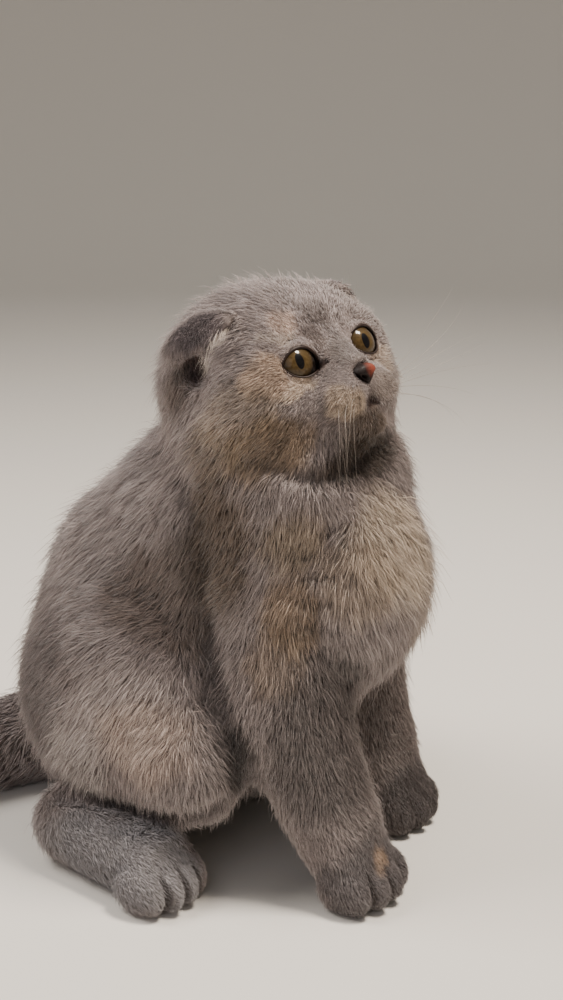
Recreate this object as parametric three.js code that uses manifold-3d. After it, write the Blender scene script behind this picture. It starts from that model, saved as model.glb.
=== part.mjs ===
// A Scottish Fold kitten of about eight weeks, sitting, with its head turned and lifted.
// Millimetres, +Z up. The kitten faces -Y, its right side is at -X, and it rests on the plane Z = 0.
// The outside of each solid is the outside of the short, plush coat.
import * as THREE from "three";
import { mergeVertices } from "three/addons/utils/BufferGeometryUtils.js";
import Module from "manifold-3d";

const wasm = await Module();
wasm.setup();

// Driving sizes
const EYE_RADIUS = 8.2;
const EYE_SPACING = 27;
const EYE_SPLAY = 0.22;
const LID_THICKNESS = 1.3;
const EYE_OPENING = { width: 13.8, height: 11.2, slant: 0.15 };
const EAR_THICKNESS = 2;
const MOUTH_GROOVE = 0.8;
const LIP_RADIUS = 1.1;
const LIP_HEIGHT = 1.1;
const LEG_THICKNESS = 31;
const PAW_WIDTH = 30;
const TOES = 4;
const TOE_RADII = [4.5, 7.2, 6.5];
const TOE_FAN = 3;
const SEAM = 0.3;
const FAR = 400;

// Places that carry the pose
const HEAD_PLACE = new THREE.Vector3(-2.7, -7.8, 158);
const HEAD_TURN = new THREE.Euler(-0.332, -0.096, -0.148, "ZXY");
const TO_ORIGIN = new THREE.Vector3(22.95, -24.79, 0);

// Grid sizes for the surfaces of each region
const HEAD_CELL = 2.5;
const BODY_CELL = 5;
const LEG_CELL = 4;

// How far a surface may move when its flat stretches are made of fewer faces
const FACE_EASE = 0.2;
const BODY_EASE = 0.5;
const NODE_EASE = 0.1;

const SIDES = { right: -1, left: 1 };
const half = SEAM / 2;
const at = (x, y, z) => new THREE.Vector3(x, y, z);

// Distance fields. Each is a function of x, y and z that is negative inside.

const softMin = (a, b, k) => {
  const h = Math.max(k - Math.abs(a - b), 0) / k;
  return Math.min(a, b) - (h * h * k) / 4;
};

function mass(centre, radii, turn = new THREE.Euler()) {
  const inverse = new THREE.Matrix4()
    .compose(centre, new THREE.Quaternion().setFromEuler(turn), at(1, 1, 1))
    .invert();
  const m = inverse.elements;
  const [rx, ry, rz] = radii;
  return (x, y, z) => {
    const a = (m[0] * x + m[4] * y + m[8] * z + m[12]) / rx;
    const b = (m[1] * x + m[5] * y + m[9] * z + m[13]) / ry;
    const c = (m[2] * x + m[6] * y + m[10] * z + m[14]) / rz;
    const inner = Math.hypot(a, b, c);
    const slope = Math.hypot(a / rx, b / ry, c / rz);
    return (inner * (inner - 1)) / Math.max(slope, 1e-6);
  };
}

function limb(start, end, startRadius, endRadius) {
  const along = end.clone().sub(start);
  const square = along.lengthSq();
  return (x, y, z) => {
    const px = x - start.x;
    const py = y - start.y;
    const pz = z - start.z;
    const dot = px * along.x + py * along.y + pz * along.z;
    const t = Math.min(1, Math.max(0, dot / square));
    const d = Math.hypot(px - t * along.x, py - t * along.y, pz - t * along.z);
    return d - startRadius - t * (endRadius - startRadius);
  };
}

function chain(points, radii, k = 6) {
  const links = points
    .slice(1)
    .map((p, i) => limb(points[i], p, radii[i], radii[i + 1]));
  return fuse(k, ...links);
}

function fuse(k, ...fields) {
  return (x, y, z) =>
    fields.reduce((nearest, field) => softMin(nearest, field(x, y, z), k), 1e3);
}

// A field with a smooth-edged hollow in it
function carve(k, field, hollow) {
  return (x, y, z) => -softMin(-field(x, y, z), hollow(x, y, z), k);
}

function placed(field, place, turn) {
  const inverse = new THREE.Matrix4()
    .compose(place, new THREE.Quaternion().setFromEuler(turn), at(1, 1, 1))
    .invert();
  const m = inverse.elements;
  return (x, y, z) =>
    field(
      m[0] * x + m[4] * y + m[8] * z + m[12],
      m[1] * x + m[5] * y + m[9] * z + m[13],
      m[2] * x + m[6] * y + m[10] * z + m[14],
    );
}

// A closed surface where the field is zero: one point in each grid cell that the surface
// crosses, and one quad across each grid edge that it crosses.
function surfaceOf(field, low, high, cell) {
  const count = ["x", "y", "z"].map(
    (axis) => Math.ceil((high[axis] - low[axis]) / cell) + 1,
  );
  const stride = [1, count[0], count[0] * count[1]];
  const total = stride[2] * count[2];
  const value = new Float32Array(total);
  const pointOf = new Int32Array(total).fill(-1);
  const points = [];
  const triangles = [];

  for (let k = 0, n = 0; k < count[2]; k++)
    for (let j = 0; j < count[1]; j++)
      for (let i = 0; i < count[0]; i++, n++) {
        const rim = [i, j, k].some((c, a) => c === 0 || c === count[a] - 1);
        value[n] = rim
          ? cell
          : field(low.x + i * cell, low.y + j * cell, low.z + k * cell);
      }

  const corners = [0, 1, 2, 3, 4, 5, 6, 7].map((c) => [c & 1, (c >> 1) & 1, c >> 2]);
  const edges = corners.flatMap((_, c) =>
    [1, 2, 4].filter((bit) => !(c & bit)).map((bit) => [c, c | bit]),
  );
  const offset = corners.map((c) => c[0] + c[1] * stride[1] + c[2] * stride[2]);

  for (let k = 0; k < count[2] - 1; k++)
    for (let j = 0; j < count[1] - 1; j++)
      for (let i = 0; i < count[0] - 1; i++) {
        const n = i + j * stride[1] + k * stride[2];
        const sum = [0, 0, 0];
        let crossings = 0;
        for (const [a, b] of edges) {
          const va = value[n + offset[a]];
          const vb = value[n + offset[b]];
          if (va < 0 === vb < 0) continue;
          const t = va / (va - vb);
          for (let axis = 0; axis < 3; axis++)
            sum[axis] += corners[a][axis] + t * (corners[b][axis] - corners[a][axis]);
          crossings++;
        }
        if (!crossings) continue;
        pointOf[n] = points.length / 3;
        points.push(
          low.x + (i + sum[0] / crossings) * cell,
          low.y + (j + sum[1] / crossings) * cell,
          low.z + (k + sum[2] / crossings) * cell,
        );
      }

  const gap = (p, q) =>
    Math.hypot(
      points[3 * p] - points[3 * q],
      points[3 * p + 1] - points[3 * q + 1],
      points[3 * p + 2] - points[3 * q + 2],
    );
  for (let n = 0; n < total; n++)
    for (let axis = 0; axis < 3; axis++) {
      const next = n + stride[axis];
      if (next >= total || value[n] < 0 === value[next] < 0) continue;
      const b = stride[(axis + 1) % 3];
      const c = stride[(axis + 2) % 3];
      const quad = [n - b - c, n - c, n, n - b].map((m) => pointOf[m]);
      if (value[n] >= 0) quad.reverse();
      if (gap(quad[0], quad[2]) > gap(quad[1], quad[3])) quad.push(quad.shift());
      triangles.push(quad[0], quad[1], quad[2], quad[0], quad[2], quad[3]);
    }

  return new THREE.BufferGeometry()
    .setAttribute("position", new THREE.Float32BufferAttribute(points, 3))
    .setIndex(triangles);
}

// Joining and cutting

function solidOf(geometry, place = at(0, 0, 0), turn = new THREE.Euler(), size = at(1, 1, 1)) {
  const bare = geometry.clone();
  bare.deleteAttribute("normal");
  bare.deleteAttribute("uv");
  const moved = bare.applyMatrix4(
    new THREE.Matrix4().compose(place, new THREE.Quaternion().setFromEuler(turn), size),
  );
  const merged = mergeVertices(moved, 1e-4);
  return new wasm.Manifold(
    new wasm.Mesh({
      numProp: 3,
      vertProperties: merged.attributes.position.array,
      triVerts: new Uint32Array(merged.index.array),
    }),
  );
}

function grown(field, low, high, cell, ease) {
  return solidOf(surfaceOf(field, low, high, cell)).simplify(ease);
}

function ball(place, radii, turn, around = 24) {
  const round = new THREE.SphereGeometry(1, around, Math.round(around * 0.7));
  return solidOf(round, place, turn, at(...radii));
}

// The half of space that lies beyond a plane, along its normal
function beyond(point, normal) {
  const facing = new THREE.Quaternion().setFromUnitVectors(
    at(0, 0, 1),
    normal.clone().normalize(),
  );
  const middle = point.clone().addScaledVector(normal.clone().normalize(), FAR / 2);
  const box = new THREE.BoxGeometry(FAR, FAR, FAR);
  return solidOf(box, middle, new THREE.Euler().setFromQuaternion(facing));
}

function largest(solid) {
  return solid.decompose().reduce((a, b) => (a.volume() > b.volume() ? a : b));
}

// Head, in its own frame: the origin is in the middle of the skull, and the nose points to -Y.

const eyePlace = (side) => at((side * EYE_SPACING) / 2, -20, 0);
const eyeTurn = (side) => new THREE.Euler(0.03, 0, side * EYE_SPLAY);
const eachSide = (make) => Object.values(SIDES).map(make);

const skull = fuse(
  6,
  mass(at(0, 4, 3), [32.5, 31, 26]),
  ...eachSide((s) => mass(at(s * 12, -10, 10.5), [14.5, 12.5, 11])),
  ...eachSide((s) => mass(at(s * 18, -8, -11), [18.5, 20, 15])),
  ...eachSide((s) => mass(at(s * 21.5, -10.5, 1), [13.5, 15.5, 14])),
  mass(at(0, -8, -17), [18, 19, 10.5]),
);
const muzzle = fuse(
  3,
  mass(at(0, -23.5, -12), [14, 11, 9.5]),
  ...eachSide((s) => mass(at(s * 6.8, -30.6, -13.5), [8, 7.6, 6.8])),
  mass(at(0, -29, -21.5), [7.5, 7, 5.5]),
  limb(at(0, -18.5, 4), at(0, -34, -5.8), 6, 4.2),
);
const eyeMounds = fuse(2, ...eachSide((s) => mass(eyePlace(s), [9.3, 9, 9.1])));
const orbits = fuse(2, ...eachSide((s) => mass(at(s * 12.4, -33.4, 0), [8.6, 7.4, 7])));
const headShape = fuse(2, carve(4, fuse(4, skull, muzzle), orbits), eyeMounds);

// Body masses

const trunkShape = fuse(
  14,
  mass(at(0, 48, 44), [50, 41, 46]),
  mass(at(0, 37, 79), [41, 43, 42]),
  mass(at(0, 12, 110), [36, 38, 34]),
  mass(at(0, -2, 98), [37, 38, 38]),
  mass(at(0, -29, 94), [33, 31, 38]),
  mass(at(0, 8, 46), [38, 34, 36]),
);
const neckShape = fuse(
  8,
  limb(at(0, -9, 124), at(-2, -7, 146), 36, 33),
  ...eachSide((s) => mass(at(s * 16 - 1, -21, 126), [21, 23, 20])),
);

const foreleg = {
  right: {
    shoulder: at(-20, -22, 86),
    elbow: at(-25, -27, 60),
    wrist: at(-25, -48, 21),
    paw: at(-25, -58, 9.5),
    turn: -0.08,
  },
  left: {
    shoulder: at(20, -20, 86),
    elbow: at(24, -18, 58),
    wrist: at(25, -33, 20),
    paw: at(26, -42, 9.5),
    turn: 0.1,
  },
};
const LEG_RADIUS = LEG_THICKNESS / 2;
const forelegShape = ({ shoulder, elbow, wrist }) =>
  chain([shoulder, elbow, wrist], [LEG_RADIUS + 5, LEG_RADIUS + 3, LEG_RADIUS - 1.5], 8);
const pawShape = ({ paw, turn }) =>
  mass(paw, [PAW_WIDTH / 2, 12.8, 11.5], new THREE.Euler(0, 0, turn));

const hindleg = {
  right: { side: -1, knee: at(-45, -6, 40), hock: at(-56, 34, 12.5), toe: at(-61, -9, 10) },
  left: { side: 1, knee: at(44, -4, 40), hock: at(53, 36, 12.5), toe: at(57, -6, 10) },
};
const thighShape = ({ side, knee }) =>
  fuse(
    8,
    mass(at(side * 36, 24, 48), [26, 39, 42], new THREE.Euler(0.25, 0, side * 0.12)),
    mass(knee, [17, 18, 20]),
  );

const TAIL_PATH = new THREE.CatmullRomCurve3([
  at(0, 66, 20),
  at(-14, 85, 16),
  at(-38, 99, 13),
  at(-66, 107, 11.6),
  at(-92, 104, 9.8),
  at(-112, 92, 6.4),
]);
const TAIL_RADII = [18, 16, 14, 12.5, 10.5, 7];
const TAIL_STEPS = 12;
const tailPoints = TAIL_PATH.getPoints(TAIL_STEPS);
const tailRadius = (t) => {
  const place = t * (TAIL_RADII.length - 1);
  const i = Math.min(Math.floor(place), TAIL_RADII.length - 2);
  return THREE.MathUtils.lerp(TAIL_RADII[i], TAIL_RADII[i + 1], place - i);
};
const tailShape = chain(
  tailPoints,
  tailPoints.map((_, i) => tailRadius(i / TAIL_STEPS)),
  5,
);

const headInBody = placed(headShape, HEAD_PLACE, HEAD_TURN);
const limbShapes = fuse(
  7,
  ...Object.values(foreleg).map(forelegShape),
  ...Object.values(hindleg).map(thighShape),
);
const whole = fuse(9, trunkShape, neckShape, headInBody, limbShapes, tailShape);

// Planes and regions that part the body, a seam apart

const headToBody = new THREE.Matrix4().compose(
  HEAD_PLACE,
  new THREE.Quaternion().setFromEuler(HEAD_TURN),
  at(1, 1, 1),
);
const toBody = (solid) => solid.transform(headToBody.elements);

function plane(point, normal) {
  const way = normal.clone().normalize();
  return {
    above: beyond(point.clone().addScaledVector(way, half), way),
    below: beyond(point.clone().addScaledVector(way, -half), way.clone().negate()),
  };
}
const headCut = plane(
  at(0, -12, -26).applyMatrix4(headToBody),
  at(0, -0.3, 0.95).transformDirection(headToBody),
);
const neckCut = plane(at(0, -10, 118), at(0, -0.2, 0.98));
const floor = beyond(at(0, 0, 0), at(0, 0, 1));

function forelegRegion({ elbow, wrist }, grow) {
  const side = Math.sign(wrist.x);
  const middle = elbow.clone().add(wrist).multiplyScalar(0.5);
  const lean = Math.atan2(elbow.y - wrist.y, elbow.z - wrist.z);
  const leg = ball(
    at(middle.x + side * 3, middle.y - 4, middle.z - 2),
    [26 + grow, 27 + grow, 56 + grow],
    new THREE.Euler(-lean, 0, 0),
    16,
  );
  return leg.intersect(beyond(at(side * (1 - grow), 0, 0), at(side, 0, 0)));
}

function thighRegion({ side }, grow) {
  const thigh = ball(
    at(side * 42, 22, 42),
    [30 + grow, 52 + grow, 48 + grow],
    new THREE.Euler(0.2, 0, side * 0.12),
    18,
  );
  return thigh.intersect(beyond(at(side * (14 - grow), 0, 0), at(side, 0, 0)));
}

// The long hind foot lies flat, from the heel to the ball of the toes
function hindFoot({ side, hock, toe }, grow) {
  const way = toe.clone().sub(hock);
  const facing = new THREE.Quaternion().setFromUnitVectors(at(0, 1, 0), way.clone().normalize());
  const shaft = new THREE.CylinderGeometry(12 + grow, 13.5 + grow, way.length(), 16);
  const middle = hock.clone().addScaledVector(way, 0.5);
  const ballOfToes = at(toe.x, toe.y + 2.5, 8.5);
  return solidOf(shaft, middle, new THREE.Euler().setFromQuaternion(facing))
    .add(ball(hock, [13.5 + grow, 13.5 + grow, 13.5 + grow], new THREE.Euler(), 16))
    .add(ball(ballOfToes, [13.5 + grow, 12.5 + grow, 11.5 + grow], new THREE.Euler(0, 0, side * 0.12), 16));
}

function tailRegion(grow) {
  return ball(at(-62, 101, 10), [66 + grow, 28 + grow, 27 + grow], new THREE.Euler(0, 0, -0.22), 16);
}

// Materials

const finish = (color, roughness = 0.9) =>
  new THREE.MeshStandardMaterial({ color, roughness, metalness: 0 });
const FINISHES = {
  greyCoat: finish(0x857b78),
  creamCoat: finish(0x94836f),
  pawCoat: finish(0x827c7e),
  innerEar: finish(0x7d6a66),
  noseLeather: finish(0x8f4f40, 0.55),
  eye: finish(0x6b5530, 0.08),
};

const kitten = new THREE.Group();
kitten.position.copy(TO_ORIGIN);

function addNode(name, solid, material) {
  const mesh = largest(solid).asOriginal().simplify(NODE_EASE).getMesh();
  const positions = new Float32Array(mesh.numVert * 3);
  for (let i = 0; i < mesh.numVert; i++)
    positions.set(mesh.vertProperties.subarray(i * mesh.numProp, i * mesh.numProp + 3), i * 3);
  const geometry = new THREE.BufferGeometry()
    .setAttribute("position", new THREE.BufferAttribute(positions, 3))
    .setIndex(new THREE.BufferAttribute(mesh.triVerts, 1));
  geometry.computeVertexNormals();
  const node = new THREE.Mesh(geometry, material);
  node.name = name;
  kitten.add(node);
}

// Ear: a flap folded forward and down over the opening, with the cup under it

function flap(side) {
  const columns = 8;
  const rows = 5;
  const base = new THREE.CatmullRomCurve3([
    at(22.5, -14, 17.5),
    at(23, -7, 21.5),
    at(23, 2, 21.5),
    at(25, 9, 16),
  ]);
  const fold = new THREE.CatmullRomCurve3([
    at(26, -17, 19.5),
    at(31, -8, 22.5),
    at(32.5, 3, 22),
    at(32, 12, 17.5),
  ]);
  const rim = new THREE.CatmullRomCurve3([
    at(26.5, -15, 16.5),
    at(33.5, -9, 10.5),
    at(35, -1, 10),
    at(32, 8, 12),
  ]);
  const points = [];
  for (let j = 0; j <= rows; j++)
    for (let i = 0; i <= columns; i++) {
      const along = i / columns;
      const t = j / rows;
      const p = base.getPoint(along).multiplyScalar((1 - t) ** 2);
      p.addScaledVector(fold.getPoint(along), 2 * t * (1 - t));
      p.addScaledVector(rim.getPoint(along), t * t);
      points.push(at(p.x * side, p.y, p.z));
    }
  return sheet(points, columns, rows, EAR_THICKNESS, side);
}

// A closed shell of even thickness about a grid of points
function sheet(points, columns, rows, thickness, side) {
  const width = columns + 1;
  const index = (i, j) => j * width + i;
  const pick = (i, j) =>
    points[index(Math.min(Math.max(i, 0), columns), Math.min(Math.max(j, 0), rows))];
  const positions = [];
  for (const way of [0.5, -0.5])
    for (let j = 0; j <= rows; j++)
      for (let i = 0; i <= columns; i++) {
        const across = pick(i + 1, j).clone().sub(pick(i - 1, j));
        const down = pick(i, j + 1).clone().sub(pick(i, j - 1));
        const normal = across.cross(down).normalize().multiplyScalar(side);
        const p = pick(i, j).clone().addScaledVector(normal, way * thickness);
        positions.push(p.x, p.y, p.z);
      }
  const back = width * (rows + 1);
  const faces = [];
  const quad = (a, b, c, d) => faces.push(a, b, c, a, c, d);
  for (let j = 0; j < rows; j++)
    for (let i = 0; i < columns; i++) {
      const ring = [index(i, j), index(i + 1, j), index(i + 1, j + 1), index(i, j + 1)];
      quad(...ring);
      quad(...ring.map((n) => n + back).reverse());
    }
  const rimWalk = [];
  for (let i = 0; i < columns; i++) rimWalk.push(index(i, 0));
  for (let j = 0; j < rows; j++) rimWalk.push(index(columns, j));
  for (let i = columns; i > 0; i--) rimWalk.push(index(i, rows));
  for (let j = rows; j > 0; j--) rimWalk.push(index(0, j));
  rimWalk.forEach((a, n) => {
    const b = rimWalk[(n + 1) % rimWalk.length];
    quad(b, a, a + back, b + back);
  });
  if (side < 0) faces.reverse();
  const geometry = new THREE.BufferGeometry()
    .setAttribute("position", new THREE.Float32BufferAttribute(positions, 3))
    .setIndex(faces);
  return solidOf(geometry);
}

const earCup = (side) =>
  ball(at(side * 30, -2, 7.5), [6.5, 8, 8], new THREE.Euler(0, side * 0.3, 0), 12);
const earRegion = (side, grow) =>
  ball(at(side * 31, -2.5, 12), [14 + grow, 19 + grow, 15 + grow], new THREE.Euler(0.15, 0, 0), 16);

// Eyelids

function almond() {
  const { width, height } = EYE_OPENING;
  const shape = new THREE.Shape();
  shape.moveTo(-width / 2, 0);
  shape.bezierCurveTo(-width * 0.34, height * 0.7, width * 0.34, height * 0.7, width / 2, 0);
  shape.bezierCurveTo(width * 0.34, -height * 0.63, -width * 0.34, -height * 0.63, -width / 2, 0);
  return shape;
}

function eyeOpening(side) {
  const prism = new THREE.ExtrudeGeometry(almond(), {
    depth: EYE_RADIUS * 3,
    bevelEnabled: false,
    curveSegments: 7,
  });
  prism.rotateZ(side * EYE_OPENING.slant);
  prism.rotateX(Math.PI / 2);
  return solidOf(prism, eyePlace(side), eyeTurn(side));
}

// Nose, with its nostrils

const NOSE_PLACE = at(0, -36.6, -7.8);
const NOSE_RADII = [4.5, 2.8, 3.3];
const noseBall = (grow) =>
  ball(NOSE_PLACE, NOSE_RADII.map((r) => r + grow), new THREE.Euler(0.3, 0, 0), 14);
const nostril = (side) =>
  ball(at(side * 2.6, -38.8, -8.6), [1.3, 1.6, 0.9], new THREE.Euler(0, side * 0.5, 0), 8);

// The line of the mouth lies where rays from the front meet the head

function drape(x, z) {
  let y = -48;
  while (headShape(x, y, z) > 0.05 && y < -5) y += headShape(x, y, z) * 0.8;
  return at(x, y, z);
}
const MOUTH_CORNERS = [
  [2.6, -17.8],
  [6.5, -18.9],
  [10.6, -17.6],
  [13.6, -15],
];
const mouthLine = (side) =>
  new THREE.CatmullRomCurve3(
    [[0, -10.5], [0.1, -15.2], ...MOUTH_CORNERS].map(([x, z]) => drape(side * x, z)),
  );
const lipLine = (side, rise) =>
  new THREE.CatmullRomCurve3(MOUTH_CORNERS.map(([x, z]) => drape(side * x, z + rise)));
const bead = (curve, radius, steps) => {
  const points = curve.getSpacedPoints(steps);
  const links = points.slice(1).map((p, i) => {
    const way = p.clone().sub(points[i]);
    const facing = new THREE.Quaternion().setFromUnitVectors(at(0, 1, 0), way.clone().normalize());
    const rod = new THREE.CapsuleGeometry(radius, way.length(), 2, 6);
    const middle = points[i].clone().addScaledVector(way, 0.5);
    return solidOf(rod, middle, new THREE.Euler().setFromQuaternion(facing));
  });
  return links.reduce((a, b) => a.add(b));
};

let headSolid = grown(whole, at(-50, -62, 108), at(50, 44, 196), HEAD_CELL, FACE_EASE);
for (const side of Object.values(SIDES)) {
  const lid = EYE_RADIUS + LID_THICKNESS;
  const socket = EYE_RADIUS + SEAM;
  headSolid = headSolid
    .add(toBody(ball(eyePlace(side), [lid, lid, lid], eyeTurn(side), 22)))
    .add(toBody(flap(side)))
    .subtract(toBody(earCup(side)))
    .subtract(toBody(ball(eyePlace(side), [socket, socket, socket], eyeTurn(side), 22)))
    .subtract(toBody(eyeOpening(side)));
}
for (const side of Object.values(SIDES))
  headSolid = headSolid
    .add(toBody(bead(lipLine(side, LIP_HEIGHT), LIP_RADIUS, 4)))
    .add(toBody(bead(lipLine(side, -LIP_HEIGHT), LIP_RADIUS, 4)));
for (const side of Object.values(SIDES))
  headSolid = headSolid.subtract(toBody(bead(mouthLine(side), MOUTH_GROOVE, 10)));
headSolid = headSolid.intersect(headCut.above).subtract(toBody(noseBall(SEAM)));
for (const [name, side] of Object.entries(SIDES)) {
  addNode("ear_" + name, headSolid.intersect(toBody(earRegion(side, 0))), FINISHES.innerEar);
  addNode(
    "eye_" + name,
    toBody(ball(eyePlace(side), [EYE_RADIUS, EYE_RADIUS, EYE_RADIUS], eyeTurn(side), 16)),
    FINISHES.eye,
  );
}
for (const side of Object.values(SIDES)) headSolid = headSolid.subtract(toBody(earRegion(side, SEAM)));
addNode("head", headSolid, FINISHES.greyCoat);
addNode(
  "nose",
  toBody(noseBall(0).subtract(nostril(-1)).subtract(nostril(1))),
  FINISHES.noseLeather,
);

// Neck and torso

const neckSolid = grown(whole, at(-60, -70, 90), at(60, 70, 168), BODY_CELL, BODY_EASE);
addNode("neck", neckSolid.intersect(headCut.below).intersect(neckCut.above), FINISHES.creamCoat);

let torsoSolid = grown(whole, at(-86, -76, -14), at(86, 120, 160), BODY_CELL, BODY_EASE);
torsoSolid = torsoSolid.intersect(neckCut.below).intersect(floor);
torsoSolid = torsoSolid.subtract(tailRegion(SEAM));
for (const leg of Object.values(foreleg)) torsoSolid = torsoSolid.subtract(forelegRegion(leg, SEAM));
for (const leg of Object.values(hindleg))
  torsoSolid = torsoSolid.subtract(thighRegion(leg, SEAM)).subtract(hindFoot(leg, SEAM));
addNode("torso", torsoSolid, FINISHES.greyCoat);

// Legs and feet. Four toes fan out across the front of each paw.

function toesOf(tip, heading, width) {
  const forward = at(Math.sin(heading), -Math.cos(heading), 0);
  const across = at(Math.cos(heading), Math.sin(heading), 0);
  const toes = Array.from({ length: TOES }, (_, i) => {
    const t = (i / (TOES - 1)) * 2 - 1;
    const middle = tip
      .clone()
      .addScaledVector(across, (t * width) / 2)
      .addScaledVector(forward, TOE_FAN * (1 - t * t));
    return ball(middle, TOE_RADII, new THREE.Euler(0, 0, heading - t * 0.2), 9);
  });
  return toes.reduce((a, b) => a.add(b));
}

for (const [name, leg] of Object.entries(foreleg)) {
  const { wrist, paw } = leg;
  const shape = fuse(7, whole, pawShape(leg));
  const low = at(wrist.x - 40, paw.y - 22, -14);
  const high = at(wrist.x + 40, 20, 116);
  const solid = grown(shape, low, high, LEG_CELL, BODY_EASE)
    .intersect(forelegRegion(leg, 0))
    .intersect(floor);
  const cut = plane(wrist.clone().add(at(0, 0, -1)), at(0, 0.35, 0.94));
  const toes = toesOf(at(paw.x, paw.y - 2.6, 6), leg.turn, PAW_WIDTH - 9).intersect(floor);
  addNode("foreleg_" + name, solid.intersect(cut.above), FINISHES.greyCoat);
  addNode("forepaw_" + name, solid.intersect(cut.below).add(toes), FINISHES.pawCoat);
}

for (const [name, leg] of Object.entries(hindleg)) {
  const x = leg.side * 44;
  const thigh = grown(whole, at(x - 46, -50, -14), at(x + 46, 100, 110), LEG_CELL, BODY_EASE);
  addNode(
    "hindleg_" + name,
    thigh
      .intersect(thighRegion(leg, 0))
      .subtract(hindFoot(leg, SEAM))
      .subtract(forelegRegion(foreleg[name], SEAM))
      .subtract(tailRegion(SEAM))
      .intersect(floor),
    FINISHES.greyCoat,
  );
  const toes = toesOf(at(leg.toe.x, leg.toe.y - 0.8, 6), leg.side * 0.12, 17);
  addNode("hindpaw_" + name, hindFoot(leg, 0).add(toes).intersect(floor), FINISHES.pawCoat);
}

// Tail

const tailSolid = grown(whole, at(-134, 40, -14), at(20, 140, 60), LEG_CELL, BODY_EASE);
addNode("tail", tailSolid.intersect(tailRegion(0)).intersect(floor), FINISHES.greyCoat);

export default kitten;
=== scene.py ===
import itertools
import math

import bpy
import numpy as np
from mathutils import Matrix, Vector
from mathutils.bvhtree import BVHTree
from mathutils.kdtree import KDTree


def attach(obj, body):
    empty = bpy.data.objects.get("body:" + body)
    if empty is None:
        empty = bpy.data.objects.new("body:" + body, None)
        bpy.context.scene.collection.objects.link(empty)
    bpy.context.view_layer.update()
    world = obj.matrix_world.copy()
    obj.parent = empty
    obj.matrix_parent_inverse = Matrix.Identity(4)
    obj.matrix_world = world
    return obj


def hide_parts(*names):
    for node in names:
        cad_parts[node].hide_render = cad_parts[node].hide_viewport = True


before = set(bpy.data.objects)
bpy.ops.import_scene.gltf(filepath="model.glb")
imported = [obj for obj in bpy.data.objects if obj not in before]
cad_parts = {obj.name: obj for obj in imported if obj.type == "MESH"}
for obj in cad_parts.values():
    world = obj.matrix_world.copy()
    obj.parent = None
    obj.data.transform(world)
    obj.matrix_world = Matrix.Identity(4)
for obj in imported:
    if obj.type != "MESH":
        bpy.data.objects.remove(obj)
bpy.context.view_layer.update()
bpy.ops.object.select_all(action="DESELECT")

# Camera
# It stands to the kitten's right and a little above its head, and looks down by
# fifteen degrees, as the picture was taken.
bpy.ops.object.camera_add(
    location=(-0.33895, -0.28729, 0.234),
    rotation=(math.radians(75), 0, math.radians(-55)),
)
camera = bpy.context.active_object
camera.data.lens = 50.83
camera.data.sensor_width = 36
bpy.context.scene.camera = camera

# Studio
# A pale floor that curves up into the wall all round, a softbox overhead on the side
# that the kitten faces, and a weak fill beside the camera.


def colour(code):
    """A colour given as six hexadecimal digits, in linear light."""
    parts = [int(code[i : i + 2], 16) / 255 for i in (0, 2, 4)]
    return [p / 12.92 if p <= 0.04045 else ((p + 0.055) / 1.055) ** 2.4 for p in parts]


def new_material(name):
    """A node material with only its Principled shader, and that shader."""
    material = bpy.data.materials.new(name)
    material.use_nodes = True
    shader = material.node_tree.nodes["Principled BSDF"]
    return material, material.node_tree, shader


FLAT, COVE = 1.6, 0.7
bpy.ops.mesh.primitive_circle_add(vertices=96, radius=FLAT, fill_type="NGON")
floor = bpy.context.active_object
floor.name = "studio_floor"
bpy.ops.object.mode_set(mode="EDIT")
bpy.ops.mesh.select_mode(type="EDGE")
bpy.ops.mesh.select_all(action="DESELECT")
bpy.ops.mesh.select_non_manifold()
for step in range(1, 9):
    turn, last = step * math.pi / 16, (step - 1) * math.pi / 16
    reach, before = FLAT + COVE * math.sin(turn), FLAT + COVE * math.sin(last)
    bpy.ops.mesh.extrude_edges_move(
        TRANSFORM_OT_translate={"value": (0, 0, COVE * (math.cos(last) - math.cos(turn)))}
    )
    bpy.ops.transform.resize(
        value=(reach / before, reach / before, 1), center_override=(0, 0, 0)
    )
bpy.ops.mesh.extrude_edges_move(TRANSFORM_OT_translate={"value": (0, 0, 1.3)})
bpy.ops.object.mode_set(mode="OBJECT")
bpy.ops.object.shade_smooth()
floor_paint, tree, shader = new_material("pale_floor")
shader.inputs["Base Color"].default_value = (*colour("d9d5cf"), 1)
shader.inputs["Roughness"].default_value = 0.9
floor.data.materials.append(floor_paint)

world = bpy.data.worlds.new("studio")
world.use_nodes = True
world.node_tree.nodes["Background"].inputs["Color"].default_value = (*colour("e9e6e2"), 1)
world.node_tree.nodes["Background"].inputs["Strength"].default_value = 0.44
bpy.context.scene.world = world

LIGHTS = [
    # name, place, size, watts, colour
    ("overhead_softbox", (0.16, -0.3, 0.92), 0.2, 14, "fff3e4"),
    ("fill_softbox", (-0.8, -0.2, 0.5), 0.7, 1.2, "f6f4ff"),
    ("back_softbox", (-0.3, 0.45, 0.8), 0.45, 7, "fff8f0"),
]
for name, place, size, watts, tint in LIGHTS:
    bpy.ops.object.light_add(type="AREA", location=place)
    light = bpy.context.active_object
    light.name = name
    light.data.size = size
    light.data.energy = watts
    light.data.color = colour(tint)
    towards = Vector((0, -0.03, 0.1)) - Vector(place)
    light.rotation_euler = towards.to_track_quat("-Z", "Y").to_euler()

# Skin
# One closed hide under the whole coat. It follows the body's parts without their
# seams and lies inside them by the depth of the coat at each place.

MM = 0.001
BODY_PLACE = np.array([22.95, -24.79, 0])
HEAD_PLACE = np.array([-2.7, -7.8, 158]) + BODY_PLACE
HEAD_TURN = np.array(
    [[0.989, -0.116, 0.091], [0.139, 0.935, -0.326], [-0.047, 0.335, 0.941]]
).T


def on_body(points):
    """Places in millimetres from between the feet, in metres in the frame."""
    return (np.asarray(points, float) + BODY_PLACE) * MM


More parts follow.
